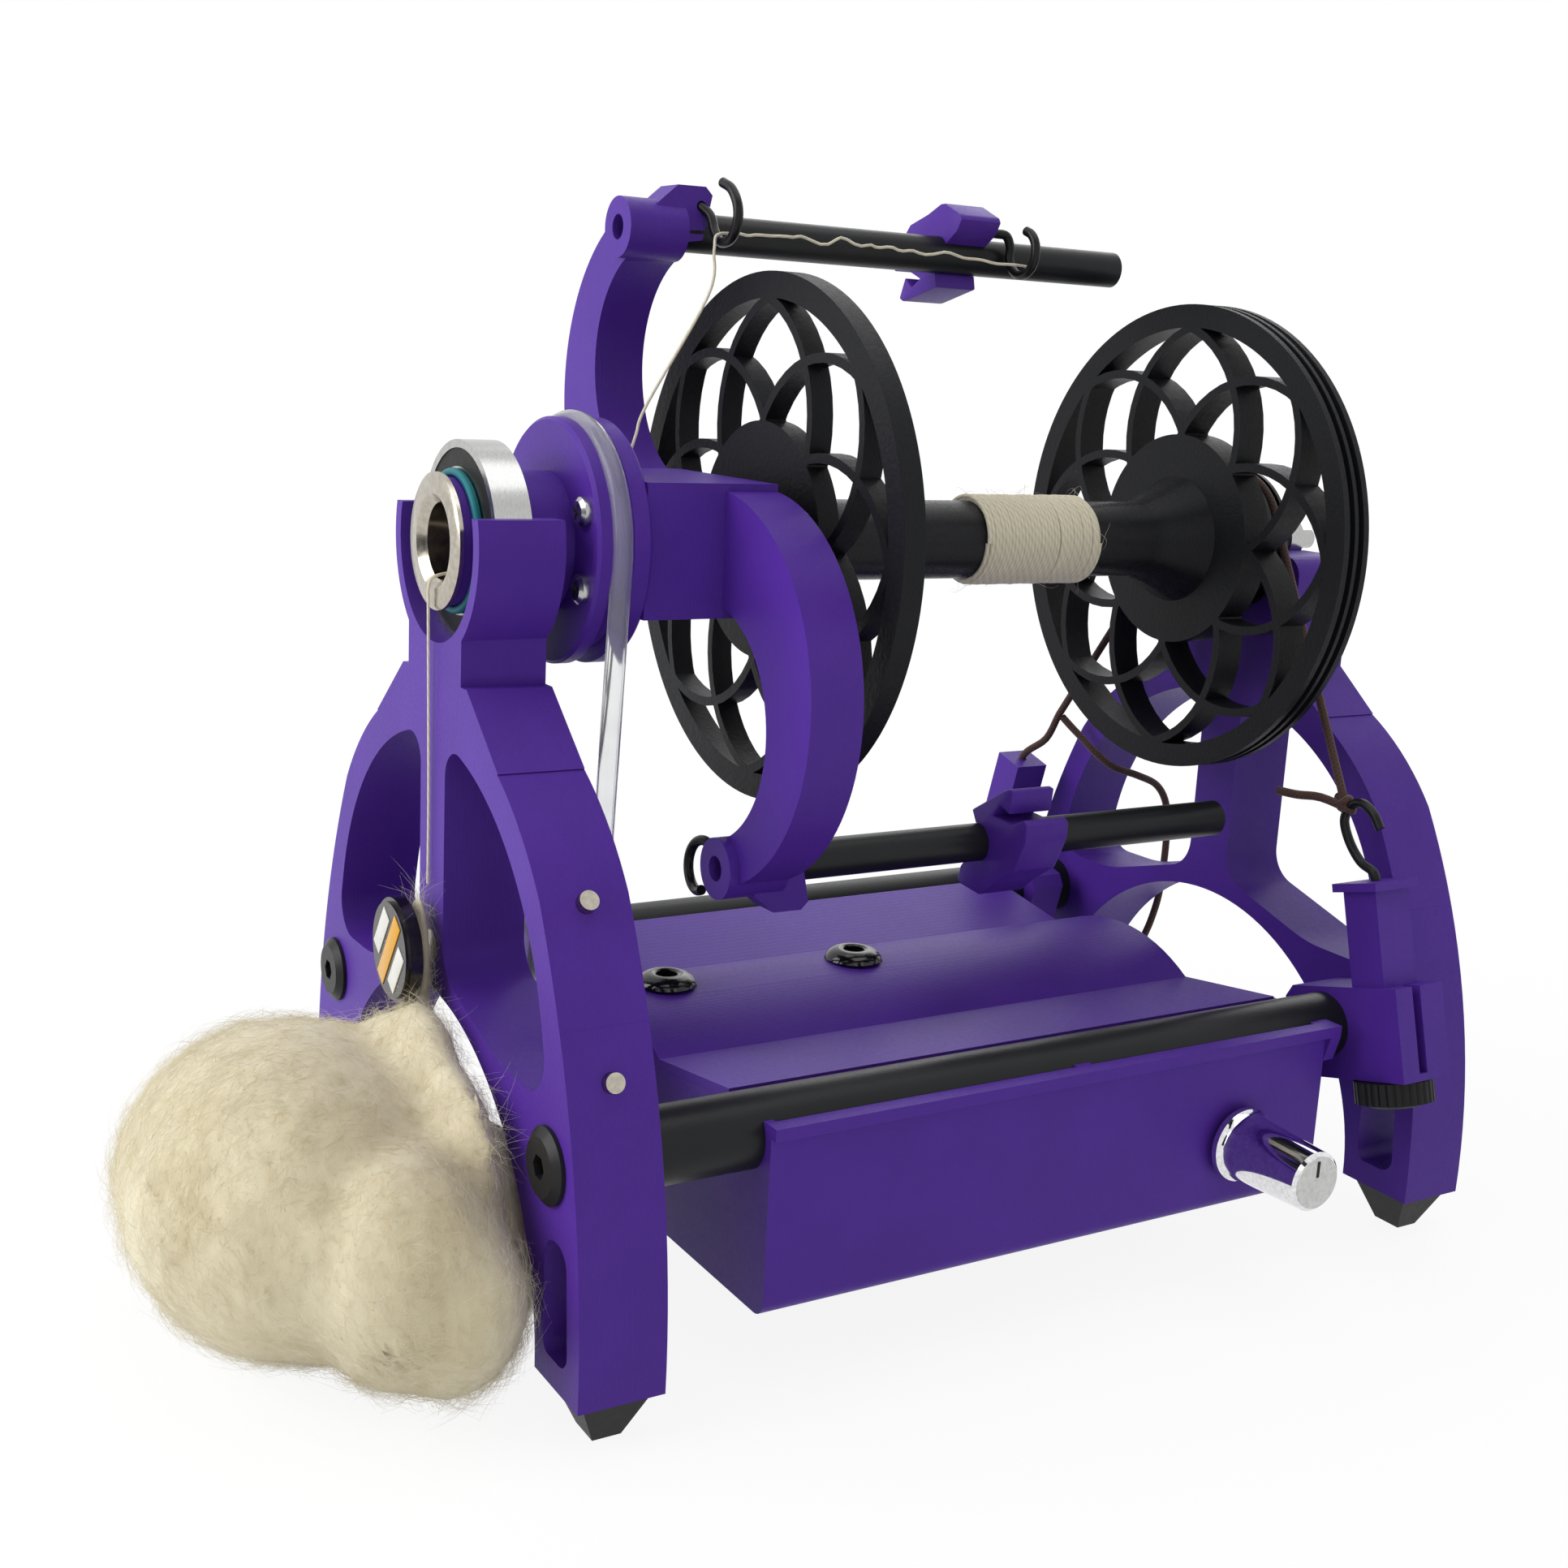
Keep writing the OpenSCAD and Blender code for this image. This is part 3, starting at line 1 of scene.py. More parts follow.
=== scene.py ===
"""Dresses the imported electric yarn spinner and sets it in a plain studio.

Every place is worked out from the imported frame. Sizes in the dataclasses are in
millimetres in the spin axis frame: x and z are counted from the spin axis and y from
the front bearing's face.
"""
import logging
import math
import random
from dataclasses import dataclass, field
from enum import Enum
from typing import Sequence

import bmesh
import bpy
from mathutils import Matrix, Quaternion, Vector, noise


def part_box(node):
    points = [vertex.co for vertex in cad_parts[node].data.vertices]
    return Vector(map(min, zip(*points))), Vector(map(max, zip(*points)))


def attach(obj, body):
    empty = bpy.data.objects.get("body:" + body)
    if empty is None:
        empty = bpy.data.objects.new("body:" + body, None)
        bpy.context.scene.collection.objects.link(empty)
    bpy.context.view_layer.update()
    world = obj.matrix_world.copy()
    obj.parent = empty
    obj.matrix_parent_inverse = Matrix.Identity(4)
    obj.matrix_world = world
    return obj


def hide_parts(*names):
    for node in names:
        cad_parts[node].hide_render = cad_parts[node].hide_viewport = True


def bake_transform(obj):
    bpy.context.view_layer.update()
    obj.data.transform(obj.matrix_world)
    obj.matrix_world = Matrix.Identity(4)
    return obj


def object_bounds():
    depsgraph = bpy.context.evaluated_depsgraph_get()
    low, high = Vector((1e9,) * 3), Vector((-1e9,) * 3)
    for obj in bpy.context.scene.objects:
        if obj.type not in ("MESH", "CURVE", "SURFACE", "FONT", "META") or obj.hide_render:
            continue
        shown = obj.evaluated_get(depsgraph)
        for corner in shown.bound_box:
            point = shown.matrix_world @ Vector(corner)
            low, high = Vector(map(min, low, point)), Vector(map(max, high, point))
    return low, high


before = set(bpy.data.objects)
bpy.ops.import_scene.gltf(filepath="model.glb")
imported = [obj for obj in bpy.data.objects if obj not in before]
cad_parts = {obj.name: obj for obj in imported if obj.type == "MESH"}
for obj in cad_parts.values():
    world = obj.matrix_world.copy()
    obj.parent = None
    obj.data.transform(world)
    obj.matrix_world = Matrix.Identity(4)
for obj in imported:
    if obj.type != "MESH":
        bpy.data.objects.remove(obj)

LOG = logging.getLogger("yarn_spinner")
CAD_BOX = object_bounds()
MM = 0.001
Point = tuple[float, float, float]
Colour = tuple[float, float, float]


class Axis(Enum):
    """The row axis along which a printed part's layers are stacked."""

    X = 0
    Y = 1
    Z = 2


# ---- Places ----


@dataclass(frozen=True)
class AxisFrame:
    """Turns places counted from the spin axis into places in the row frame."""

    origin: Vector

    @classmethod
    def from_frame(cls) -> "AxisFrame":
        """Reads the spin axis and the front bearing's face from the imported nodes.

        Returns:
            The frame, counted from there.
        """
        shaft_low, shaft_high = (Vector(c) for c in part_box("flyer_shaft"))
        ring_low = Vector(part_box("front_bearing_outer_ring")[0])
        middle = (shaft_low + shaft_high) / 2
        return cls(Vector((middle.x, ring_low.y, middle.z)))

    def at(self, x: float, y: float, z: float) -> Vector:
        """Gives the row frame's point for a place in millimetres.

        Args:
            x: Distance to the right of the spin axis.
            y: Distance behind the front bearing's face.
            z: Height above the spin axis.

        Returns:
            The point in metres in the row frame.
        """
        return self.origin + Vector((x, y, z)) * MM

    def path(self, points: Sequence[Point]) -> list[Vector]:
        """Gives the row frame's points for places in millimetres."""
        return [self.at(*p) for p in points]


PLACES = AxisFrame.from_frame()


def smooth_path(points: Sequence[Vector], steps: int) -> list[Vector]:
    """Draws a smooth curve through points.

    Args:
        points: The points that the curve passes through.
        steps: How many pieces each stretch is cut into.

    Returns:
        The curve's points, the given ones among them.
    """
    ends = [2 * points[0] - points[1], *points, 2 * points[-1] - points[-2]]
    curve = []
    for i in range(1, len(ends) - 2):
        p, q, r, s = ends[i - 1 : i + 3]
        for k in range(steps):
            t = k / steps
            curve.append(
                0.5 * (2 * q + (r - p) * t + (2 * p - 5 * q + 4 * r - s) * t * t
                       + (3 * q - p - 3 * r + s) * t ** 3)
            )
    curve.append(points[-1].copy())
    return curve


# ---- Finishes ----


class Painter:
    """Lays out the shader nodes of one material."""

    def __init__(self, name: str) -> None:
        """Starts a material that holds one plain shader.

        Args:
            name: The material's name.
        """
        self.material = bpy.data.materials.new(name)
        self.material.use_nodes = True
        self.tree = self.material.node_tree
        self.shader = self.tree.nodes["Principled BSDF"]
        self.output = self.tree.nodes["Material Output"]

    def add(self, kind: str, **settings: object) -> bpy.types.Node:
        """Adds a node and sets its properties or its sockets by name.

        Args:
            kind: The node's type.
            settings: Its properties, or the values of its sockets.

        Returns:
            The new node.
        """
        made = self.tree.nodes.new(kind)
        for key, value in settings.items():
            if hasattr(made, key):
                setattr(made, key, value)
            else:
                made.inputs[key].default_value = value
        return made

    def link(self, out: bpy.types.NodeSocket, into: bpy.types.NodeSocket) -> None:
        """Joins two sockets."""
        self.tree.links.new(out, into)

    def place(self, scale: Point = (1, 1, 1), uv: bool = False) -> bpy.types.NodeSocket:
        """Gives the piece's own coordinates, scaled.

        Args:
            scale: How much each axis is stretched.
            uv: True for the piece's UV map in place of its object coordinates.

        Returns:
            The socket that holds the coordinates.
        """
        source = self.add("ShaderNodeTexCoord").outputs["UV" if uv else "Object"]
        mapping = self.add("ShaderNodeMapping")
        mapping.inputs["Scale"].default_value = scale
        self.link(source, mapping.inputs["Vector"])
        return mapping.outputs["Vector"]

    def noise(
        self, scale: float, detail: float = 2, stretch: Point = (1, 1, 1), uv: bool = False
    ) -> bpy.types.NodeSocket:
        """Gives a noise from 0 to 1 over the piece.

        Args:
            scale: How many spots it has in a metre.
            detail: How many finer octaves it has.
            stretch: How much each axis is stretched.
            uv: True for the piece's UV map in place of its object coordinates.

        Returns:
            The socket that holds the noise.
        """
        made = self.add("ShaderNodeTexNoise", Scale=scale, Detail=detail)
        self.link(self.place(stretch, uv), made.inputs["Vector"])
        return made.outputs["Fac"]

    def math(self, operation: str, first: object, second: object = 0.0) -> bpy.types.NodeSocket:
        """Works out one sum of sockets or numbers.

        Args:
            operation: The sum's kind.
            first: A socket or a number.
            second: A socket or a number.

        Returns:
            The socket that holds the result.
        """
        made = self.add("ShaderNodeMath", operation=operation)
        for socket, value in zip(made.inputs, (first, second)):
            if isinstance(value, bpy.types.NodeSocket):
                self.link(value, socket)
            else:
                socket.default_value = value
        return made.outputs[0]

    def blend(
        self, factor: bpy.types.NodeSocket, low: float, high: float, dark: Colour, light: Colour
    ) -> bpy.types.NodeSocket:
        """Blends from dark to light as the factor goes from low to high.

        Args:
            factor: What the blend follows.
            low: The factor up to which the colour is dark.
            high: The factor from which the colour is light.
            dark: The dark colour.
            light: The light colour.

        Returns:
            The socket that holds the colour.
        """
        ramp = self.add("ShaderNodeValToRGB")
        stops = ramp.color_ramp.elements
        stops[0].position, stops[1].position = low, high
        stops[0].color, stops[1].color = (*dark, 1), (*light, 1)
        self.link(factor, ramp.inputs[0])
        return ramp.outputs[0]

    def spread(self, factor: bpy.types.NodeSocket, low: float, high: float) -> bpy.types.NodeSocket:
        """Spreads a factor from 0 to 1 over a range.

        Args:
            factor: What is spread.
            low: The result where the factor is 0.
            high: The result where the factor is 1.

        Returns:
            The socket that holds the result.
        """
        made = self.add("ShaderNodeMapRange")
        self.link(factor, made.inputs["Value"])
        made.inputs["To Min"].default_value = low
        made.inputs["To Max"].default_value = high
        return made.outputs["Result"]

    def bump(self, *heights: tuple[bpy.types.NodeSocket, float]) -> None:
        """Raises the shader's surface.

        Args:
            heights: Each height's socket with its depth in metres.
        """
        normal = None
        for height, depth in heights:
            made = self.add("ShaderNodeBump", Strength=1.0, Distance=depth)
            self.link(height, made.inputs["Height"])
            if normal:
                self.link(normal, made.inputs["Normal"])
            normal = made.outputs["Normal"]
        self.link(normal, self.shader.inputs["Normal"])

    def set(self, **sockets: object) -> None:
        """Sets the shader's own sockets.

        Args:
            sockets: Their values by name, with underscores for blanks.
        """
        for key, value in sockets.items():
            self.shader.inputs[key.replace("_", " ")].default_value = value


def darker(colour: Colour, share: float) -> Colour:
    """Darkens a colour to that share of its light."""
    return tuple(c * share for c in colour)


@dataclass(frozen=True)
class PrintedPlastic:
    """Satin plastic laid down in fine layers."""

    name: str
    colour: Colour
    layers: Axis
    pitch: float = 0.3
    ridge: float = 0.02
    grain: float = 0.035
    roughness: float = 0.42
    gloss: float = 0.15
    grain_scale: float = 900
    patch_scale: float = 45
    patch_shade: float = 0.88

    def make(self) -> bpy.types.Material:
        """Builds the material with its layer lines and its fine grain.

        Returns:
            The material.
        """
        paint = Painter(self.name)
        split = paint.add("ShaderNodeSeparateXYZ")
        paint.link(paint.place(), split.inputs[0])
        turn = 2 * math.pi / (self.pitch * MM)
        wave = paint.math("SINE", paint.math("MULTIPLY", split.outputs[self.layers.value], turn))
        patches = paint.noise(self.patch_scale, 3)
        dark = darker(self.colour, self.patch_shade)
        paint.link(
            paint.blend(patches, 0.3, 0.7, dark, self.colour), paint.shader.inputs["Base Color"]
        )
        gloss_grain = paint.noise(self.grain_scale, 2)
        paint.link(
            paint.spread(gloss_grain, self.roughness - 0.07, self.roughness + 0.09),
            paint.shader.inputs["Roughness"],
        )
        paint.set(Specular_IOR_Level=self.gloss)
        paint.bump((wave, self.ridge * MM), (paint.noise(self.grain_scale, 3), self.grain * MM))
        return paint.material


@dataclass(frozen=True)
class Metal:
    """Metal with a fine grain, stretched along an axis where it was drawn or turned."""

    name: str
    colour: Colour
    roughness: float
    metallic: float = 1.0
    grain: float = 0.004
    grain_scale: float = 900
    stretch: Point = (1, 1, 1)

    def make(self) -> bpy.types.Material:
        """Builds the material with its grain in shade, gloss and height.

        Returns:
            The material.
        """
        paint = Painter(self.name)
        grain = paint.noise(self.grain_scale, 3, self.stretch)
        paint.link(
            paint.blend(grain, 0.35, 0.65, darker(self.colour, 0.82), self.colour),
            paint.shader.inputs["Base Color"],
        )
        paint.link(
            paint.spread(grain, max(self.roughness - 0.05, 0.02), self.roughness + 0.07),
            paint.shader.inputs["Roughness"],
        )
        paint.set(Metallic=self.metallic)
        paint.bump((grain, self.grain * MM))
        return paint.material


@dataclass(frozen=True)
class Grainy:
    """Rubber, black coating or moulded plastic with a fine grain and no metal."""

    name: str
    colour: Colour
    roughness: float
    grain: float = 0.01
    grain_scale: float = 800
    coat: float = 0.0
    gloss: float = 0.22
    patch_scale: float = 60
    patch_shade: float = 0.75

    def make(self) -> bpy.types.Material:
        """Builds the material with its grain.

        Returns:
            The material.
        """
        paint = Painter(self.name)
        grain = paint.noise(self.grain_scale, 2)
        patches = paint.noise(self.patch_scale, 3)
        dark = darker(self.colour, self.patch_shade)
        paint.link(
            paint.blend(patches, 0.3, 0.7, dark, self.colour), paint.shader.inputs["Base Color"]
        )
        paint.link(
            paint.spread(grain, self.roughness - 0.06, self.roughness + 0.08),
            paint.shader.inputs["Roughness"],
        )
        paint.set(Coat_Weight=self.coat, Specular_IOR_Level=self.gloss)
        paint.bump((grain, self.grain * MM))
        return paint.material


@dataclass(frozen=True)
class Strand:
    """Twisted yarn or braided cord, patterned along its own UV map in metres, with painted shade
    darkening the grooves between its plies.
    """

    name: str
    colour: Colour
    # dark: the share of the colour kept in the painted shade of the grooves between the plies.
    dark: float
    plies: int
    lay: float
    relief: float
    crossed: bool = False
    roughness: float = 0.85
    sheen: float = 0.3
    hair_scale: float = 2600
    hair_share: float = 0.3

    def make(self) -> bpy.types.Material:
        """Builds the material with its plies winding round the strand, its colour darkened in the
        grooves between them as painted shade.

        Returns:
            The material.
        """
        paint = Painter(self.name)
        split = paint.add("ShaderNodeSeparateXYZ")
        paint.link(paint.place(uv=True), split.inputs[0])
        around = paint.math("MULTIPLY", split.outputs[0], 2 * math.pi * self.plies)
        along = paint.math("MULTIPLY", split.outputs[1], 2 * math.pi * self.plies / (self.lay * MM))
        ridges = paint.math("SINE", paint.math("ADD", around, along))
        if self.crossed:
            back = paint.math("SINE", paint.math("SUBTRACT", around, along))
            ridges = paint.math("MAXIMUM", ridges, back)
        height = paint.math("ADD", paint.math("MULTIPLY", ridges, 0.5), 0.5)
        hairs = paint.math("MULTIPLY", paint.noise(self.hair_scale, 3), self.hair_share)
        mixed = paint.math("ADD", paint.math("MULTIPLY", height, 1 - self.hair_share), hairs)
        # Painted shade: the colour darkens where the ply height is low, in the grooves between the
        # plies, with a random tone of hairs mixed in.
        paint.link(
            paint.blend(mixed, 0.15, 0.75, darker(self.colour, self.dark), self.colour),
            paint.shader.inputs["Base Color"],
        )
        paint.set(Roughness=self.roughness, Sheen_Weight=self.sheen)
        paint.bump((mixed, self.relief * MM))
        return paint.material


@dataclass(frozen=True)
class Wool:
    """Combed wool: cream, soft, a little translucent and streaked along its combing."""

    name: str
    colour: Colour
    shade: Colour
    translucency: float = 0.25
    cloud_scale: float = 26
    streak_scale: float = 260
    streak_share: float = 0.3
    streak_depth: float = 0.16
    fuzz_scale: float = 1500
    fuzz_depth: float = 0.08

    def make(self) -> bpy.types.Material:
        """Builds the material with its streaks and clouds.

        Returns:
            The material.
        """
        paint = Painter(self.name)
        clouds = paint.noise(self.cloud_scale, 4)
        streaks = paint.noise(self.streak_scale, 4, (1.0, 1.0, 0.22))
        both = paint.math("ADD", paint.math("MULTIPLY", clouds, 1 - self.streak_share),
                          paint.math("MULTIPLY", streaks, self.streak_share))
        paint.link(
            paint.blend(both, 0.35, 0.62, self.shade, self.colour), paint.shader.inputs["Base Color"]
        )
        paint.set(Roughness=0.95, Sheen_Weight=0.35, Sheen_Roughness=0.6, Specular_IOR_Level=0.15)
        paint.set(Subsurface_Weight=self.translucency, Subsurface_Radius=(0.006, 0.005, 0.0035))
        paint.bump((streaks, self.streak_depth * MM),
                   (paint.noise(self.fuzz_scale, 2), self.fuzz_depth * MM))
        return paint.material


@dataclass(frozen=True)
class ClearPlastic:
    """Clear greyish plastic of the drive belt."""

    name: str
    colour: Colour
    roughness: float = 0.12
    cloud_scale: float = 120
    clearness: float = 0.9
    bending: float = 1.33

    def make(self) -> bpy.types.Material:
        """Builds the material, a little cloudy.

        Returns:
            The material.
        """
        paint = Painter(self.name)
        clouds = paint.noise(self.cloud_scale, 3)
        paint.link(
            paint.blend(clouds, 0.3, 0.7, darker(self.colour, 0.9), self.colour),
            paint.shader.inputs["Base Color"],
        )
        paint.link(
            paint.spread(clouds, self.roughness, self.roughness + 0.12),
            paint.shader.inputs["Roughness"],
        )
        paint.set(Transmission_Weight=self.clearness, IOR=self.bending)
        return paint.material


PURPLE = (0.092, 0.028, 0.340)
BLACK = (0.008, 0.0085, 0.0105)
CREAM = (0.84, 0.77, 0.57)


@dataclass
class Finishes:
    """All the finishes, made once and shared by the pieces."""

    stand: bpy.types.Material = field(
        default_factory=PrintedPlastic("stand_purple", PURPLE, Axis.Y, grain=0.06).make)
    flyer: bpy.types.Material = field(
        default_factory=PrintedPlastic("flyer_purple", PURPLE, Axis.Y, roughness=0.38).make)
    housing: bpy.types.Material = field(
        default_factory=PrintedPlastic("housing_purple", PURPLE, Axis.Z, ridge=0.008).make)
    bobbin: bpy.types.Material = field(
        default_factory=PrintedPlastic("bobbin_black", BLACK, Axis.Y, grain=0.11, gloss=0.13).make)
    core: bpy.types.Material = field(
        default_factory=PrintedPlastic(
            "core_black", BLACK, Axis.Y, grain=0.004, roughness=0.28, gloss=0.2).make)
    rail: bpy.types.Material = field(
        default_factory=Grainy("rail_black", (0.011, 0.012, 0.0135), 0.36, 0.03, 1100).make)
    wire: bpy.types.Material = field(
        default_factory=Grainy("wire_black", (0.008, 0.008, 0.009), 0.3, 0.004, 900).make)
    bolt: bpy.types.Material = field(
        default_factory=Grainy("bolt_black", (0.014, 0.014, 0.016), 0.38, 0.006, 900).make)
    rubber: bpy.types.Material = field(
        default_factory=Grainy("rubber_black", (0.008, 0.008, 0.009), 0.5, 0.01, 600).make)
    glossy: bpy.types.Material = field(
        default_factory=Grainy("grommet_black", (0.005, 0.005, 0.006), 0.16, 0.002, 300, coat=0.4).make)
    teal: bpy.types.Material = field(
        default_factory=Grainy("ring_teal", (0.01, 0.21, 0.25), 0.4, 0.004, 700).make)
    steel: bpy.types.Material = field(
        default_factory=Metal("bearing_steel", (0.50, 0.50, 0.49), 0.22, stretch=(1, 8, 1)).make)
    nickel: bpy.types.Material = field(
        default_factory=Metal("grommet_nickel", (0.50, 0.46, 0.39), 0.2, grain_scale=600).make)
    chrome: bpy.types.Material = field(
        default_factory=Metal("knob_chrome", (0.82, 0.82, 0.84), 0.06, grain=0.0005).make)
    pale: bpy.types.Material = field(
        default_factory=Metal("knob_cap", (0.66, 0.66, 0.65), 0.42, metallic=0.6).make)
    bronze: bpy.types.Material = field(
        default_factory=Metal("bush_bronze", (0.5, 0.33, 0.16), 0.35).make)
    board: bpy.types.Material = field(
        default_factory=Grainy("board_green", (0.01, 0.09, 0.04), 0.35, 0.01, 500, coat=0.3).make)
    belt: bpy.types.Material = field(
        default_factory=ClearPlastic("belt_clear", (0.93, 0.94, 0.94)).make)
    # The number after each strand's colour is the share of it kept in the painted shade of its ply
    # grooves.
    cord: bpy.types.Material = field(
        default_factory=Strand(
            "cord_brown", (0.060, 0.022, 0.014), 0.35, 4, 5.0, 0.12, crossed=True).make)
    yarn: bpy.types.Material = field(
        default_factory=Strand("yarn_cream", (0.78, 0.72, 0.56), 0.86, 2, 6.0, 0.02).make)
    wool: bpy.types.Material = field(
        default_factory=Wool("wool_cream", CREAM, (0.66, 0.58, 0.38)).make)
    enamel: bpy.types.Material = field(
        default_factory=Grainy("button_white", (0.80, 0.80, 0.76), 0.3, 0.002, 300, coat=0.5).make)
    yellow: bpy.types.Material = field(
        default_factory=Grainy("button_yellow", (0.80, 0.40, 0.02), 0.35, 0.02, 900, coat=0.3).make)
    button: bpy.types.Material = field(
        default_factory=Metal("button_dark", (0.10, 0.095, 0.09), 0.22, grain=0.001).make)


# ---- Shared modelling ----


def turned_to(path: Sequence[Vector], closed: bool) -> list[Matrix]:
    """Carries a square frame along a path without twist.

    Args:
        path: The path's points.
        closed: True where the path's end meets its start.

    Returns:
        One matrix for each point, with its Z along the path.
    """
    count = len(path)
    frames: list[Matrix] = []
    side = Vector((0, 0, 1))
    for i, point in enumerate(path):
        before = path[i - 1] if closed or i else path[0]
        after = path[(i + 1) % count] if closed or i < count - 1 else path[-1]
        along = (after - before).normalized()
        if not i and abs(along.z) > 0.8:
            side = Vector((0, 1, 0))
        side = (side - along * side.dot(along)).normalized()
        turn = Matrix((side, along.cross(side), along)).transposed().to_4x4()
        frames.append(Matrix.Translation(point) @ turn)
    return frames


def tube_mesh(
    name: str, path: Sequence[Vector], radius: float, sides: int = 12, closed: bool = False,
) -> bpy.types.Mesh:
    """Draws a round tube along a path, with its UV map in metres along it.

    Args:
        name: The mesh's name.
        path: The tube's centreline.
        radius: Its radius in metres.
        sides: How many sides it has.
        closed: True where its end meets its start.

    Returns:
        The tube's mesh, with closed ends unless it is a loop.
    """
    bm = bmesh.new()
    uv = bm.loops.layers.uv.new("UVMap")
    frames = turned_to(path, closed)
    spans = [0.0]
    for a, b in zip(path, path[1:]):
        spans.append(spans[-1] + (b - a).length)
    scaled = [f @ Matrix.Scale(radius, 4) for f in frames]
    first = bmesh.ops.create_circle(bm, segments=sides, radius=1, matrix=scaled[0])["verts"]
    edges = list({e for v in first for e in v.link_edges})
    ends = [edges]
    for i in range(1, len(path)):
        grown = bmesh.ops.extrude_edge_only(bm, edges=edges)["geom"]
        verts = [g for g in grown if isinstance(g, bmesh.types.BMVert)]
        faces = [g for g in grown if isinstance(g, bmesh.types.BMFace)]
        edges = [g for g in grown if isinstance(g, bmesh.types.BMEdge)
                 and all(v in set(verts) for v in g.verts)]
        bmesh.ops.transform(bm, matrix=scaled[i] @ scaled[i - 1].inverted(), verts=verts)
        fresh, back = set(verts), (scaled[i - 1].inverted(), scaled[i].inverted())
        for face in faces:
            turns = []
            for loop in face.loops:
                local = back[loop.vert in fresh] @ loop.vert.co
                turns.append(math.atan2(local.y, local.x) / (2 * math.pi))
            wide = max(turns) - min(turns) > 0.5
            for loop, turn in zip(face.loops, turns):
                row = i if loop.vert in fresh else i - 1
                loop[uv].uv = (turn + (1 if wide and turn < 0 else 0), spans[row])
    ends.append(edges)
    if closed:
        bmesh.ops.bridge_loops(bm, edges=[e for end in ends for e in end])
    else:
        for end in ends:
            bmesh.ops.contextual_create(bm, geom=end)
    bmesh.ops.recalc_face_normals(bm, faces=bm.faces[:])
    return finished(bm, name)


def finished(bm: bmesh.types.BMesh, name: str, sharp: float = 40) -> bpy.types.Mesh:
    """Turns a bmesh into a smooth-shaded mesh whose sharp edges stay sharp.

    Args:
        bm: The shape, which is freed.
        name: The mesh's name.
        sharp: The angle in degrees from which an edge stays sharp.

    Returns:
        The mesh.
    """
    mesh = bpy.data.meshes.new(name)
    bm.to_mesh(mesh)
    bm.free()
    mesh.shade_smooth()
    mesh.set_sharp_from_angle(angle=math.radians(sharp))
    return mesh


def add_piece(
    name: str, mesh: bpy.types.Mesh, material: bpy.types.Material, body: str,
    nodes: Sequence[str] = (),
) -> bpy.types.Object:
    """Puts a mesh into the scene as a piece of the object.

    Args:
        name: The piece's name.
        mesh: Its mesh, already in place.
        material: Its finish.
        body: The CAD body that it rides on.
        nodes: The CAD nodes that it stands for.

    Returns:
        The new object.
    """
    piece = bpy.data.objects.new(name, mesh)
    bpy.context.scene.collection.objects.link(piece)
    mesh.materials.clear()
    mesh.materials.append(material)
    if nodes:
        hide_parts(*nodes)
    if body:
        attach(piece, body)
    LOG.info("piece %s: %d faces", name, len(mesh.polygons))
    return piece


def smoothing_group(angle: float) -> bpy.types.NodeTree:
    """Makes the node group that joins a mesh's triangles and smooths its gentle edges.

    Args:
        angle: The angle in degrees from which an edge stays sharp.

    Returns:
        The geometry node group.
    """
    group = bpy.data.node_groups.new("smooth_gentle_edges", "GeometryNodeTree")
    for way in ("INPUT", "OUTPUT"):
        group.interface.new_socket("Geometry", in_out=way, socket_type="NodeSocketGeometry")
    add, link = group.nodes.new, group.links.new
    start, end = add("NodeGroupInput"), add("NodeGroupOutput")
    weld = add("GeometryNodeMergeByDistance")
    weld.inputs["Distance"].default_value = 0.002 * MM
    smooth, crisp = add("GeometryNodeSetShadeSmooth"), add("GeometryNodeSetShadeSmooth")
    smooth.domain, crisp.domain = "FACE", "EDGE"
    crisp.inputs["Shade Smooth"].default_value = False
    bend = add("GeometryNodeInputMeshEdgeAngle")
    steep = add("FunctionNodeCompare")
    steep.inputs["B"].default_value = math.radians(angle)
    link(bend.outputs["Unsigned Angle"], steep.inputs["A"])
    link(steep.outputs["Result"], crisp.inputs["Selection"])
    link(start.outputs[0], weld.inputs["Geometry"])
    link(weld.outputs["Geometry"], smooth.inputs["Geometry"])
    link(smooth.outputs["Geometry"], crisp.inputs["Geometry"])
    link(crisp.outputs["Geometry"], end.inputs[0])
    return group


SMOOTHING = smoothing_group(28)


def dress(material: bpy.types.Material, *nodes: str) -> None:
    """Gives CAD nodes a finish and smooths their gentle edges.

    Args:
        material: The finish.
        nodes: The names of the CAD nodes.
    """
    for name in nodes:
        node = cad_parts[name]
        node.data.materials.clear()
        node.data.materials.append(material)
        node.modifiers.new("smooth", "NODES").node_group = SMOOTHING
    LOG.info("dressed %s with %s", ", ".join(nodes), material.name)


def hairs_mesh(name: str, hairs: Sequence[Sequence[Vector]], width: float) -> bpy.types.Mesh:
    """Draws many fine hairs as one mesh of thin four-sided tubes.

    Args:
        name: The mesh's name.
        hairs: The points of each hair, from root to tip.
        width: A hair's width at its root in metres.

    Returns:
        The mesh of all the hairs.
    """
    curve = bpy.data.curves.new(name, "CURVE")
    curve.dimensions = "3D"
    curve.bevel_depth = width / 2
    curve.bevel_resolution = 0
    curve.use_fill_caps = True
    for hair in hairs:
        line = curve.splines.new("POLY")
        line.points.add(len(hair) - 1)
        for i, (point, place) in enumerate(zip(line.points, hair)):
            point.co = (*place, 1)
            point.radius = 1 - 0.75 * i / (len(hair) - 1)
    holder = bpy.data.objects.new(name + "_curve", curve)
    bpy.context.scene.collection.objects.link(holder)
    bpy.context.view_layer.update()
    depsgraph = bpy.context.evaluated_depsgraph_get()
    mesh = bpy.data.meshes.new_from_object(holder.evaluated_get(depsgraph))
    bpy.data.objects.remove(holder)
    bpy.data.curves.remove(curve)
    mesh.name = name
    mesh.shade_smooth()
    return mesh


# ---- Sub-assemblies ----


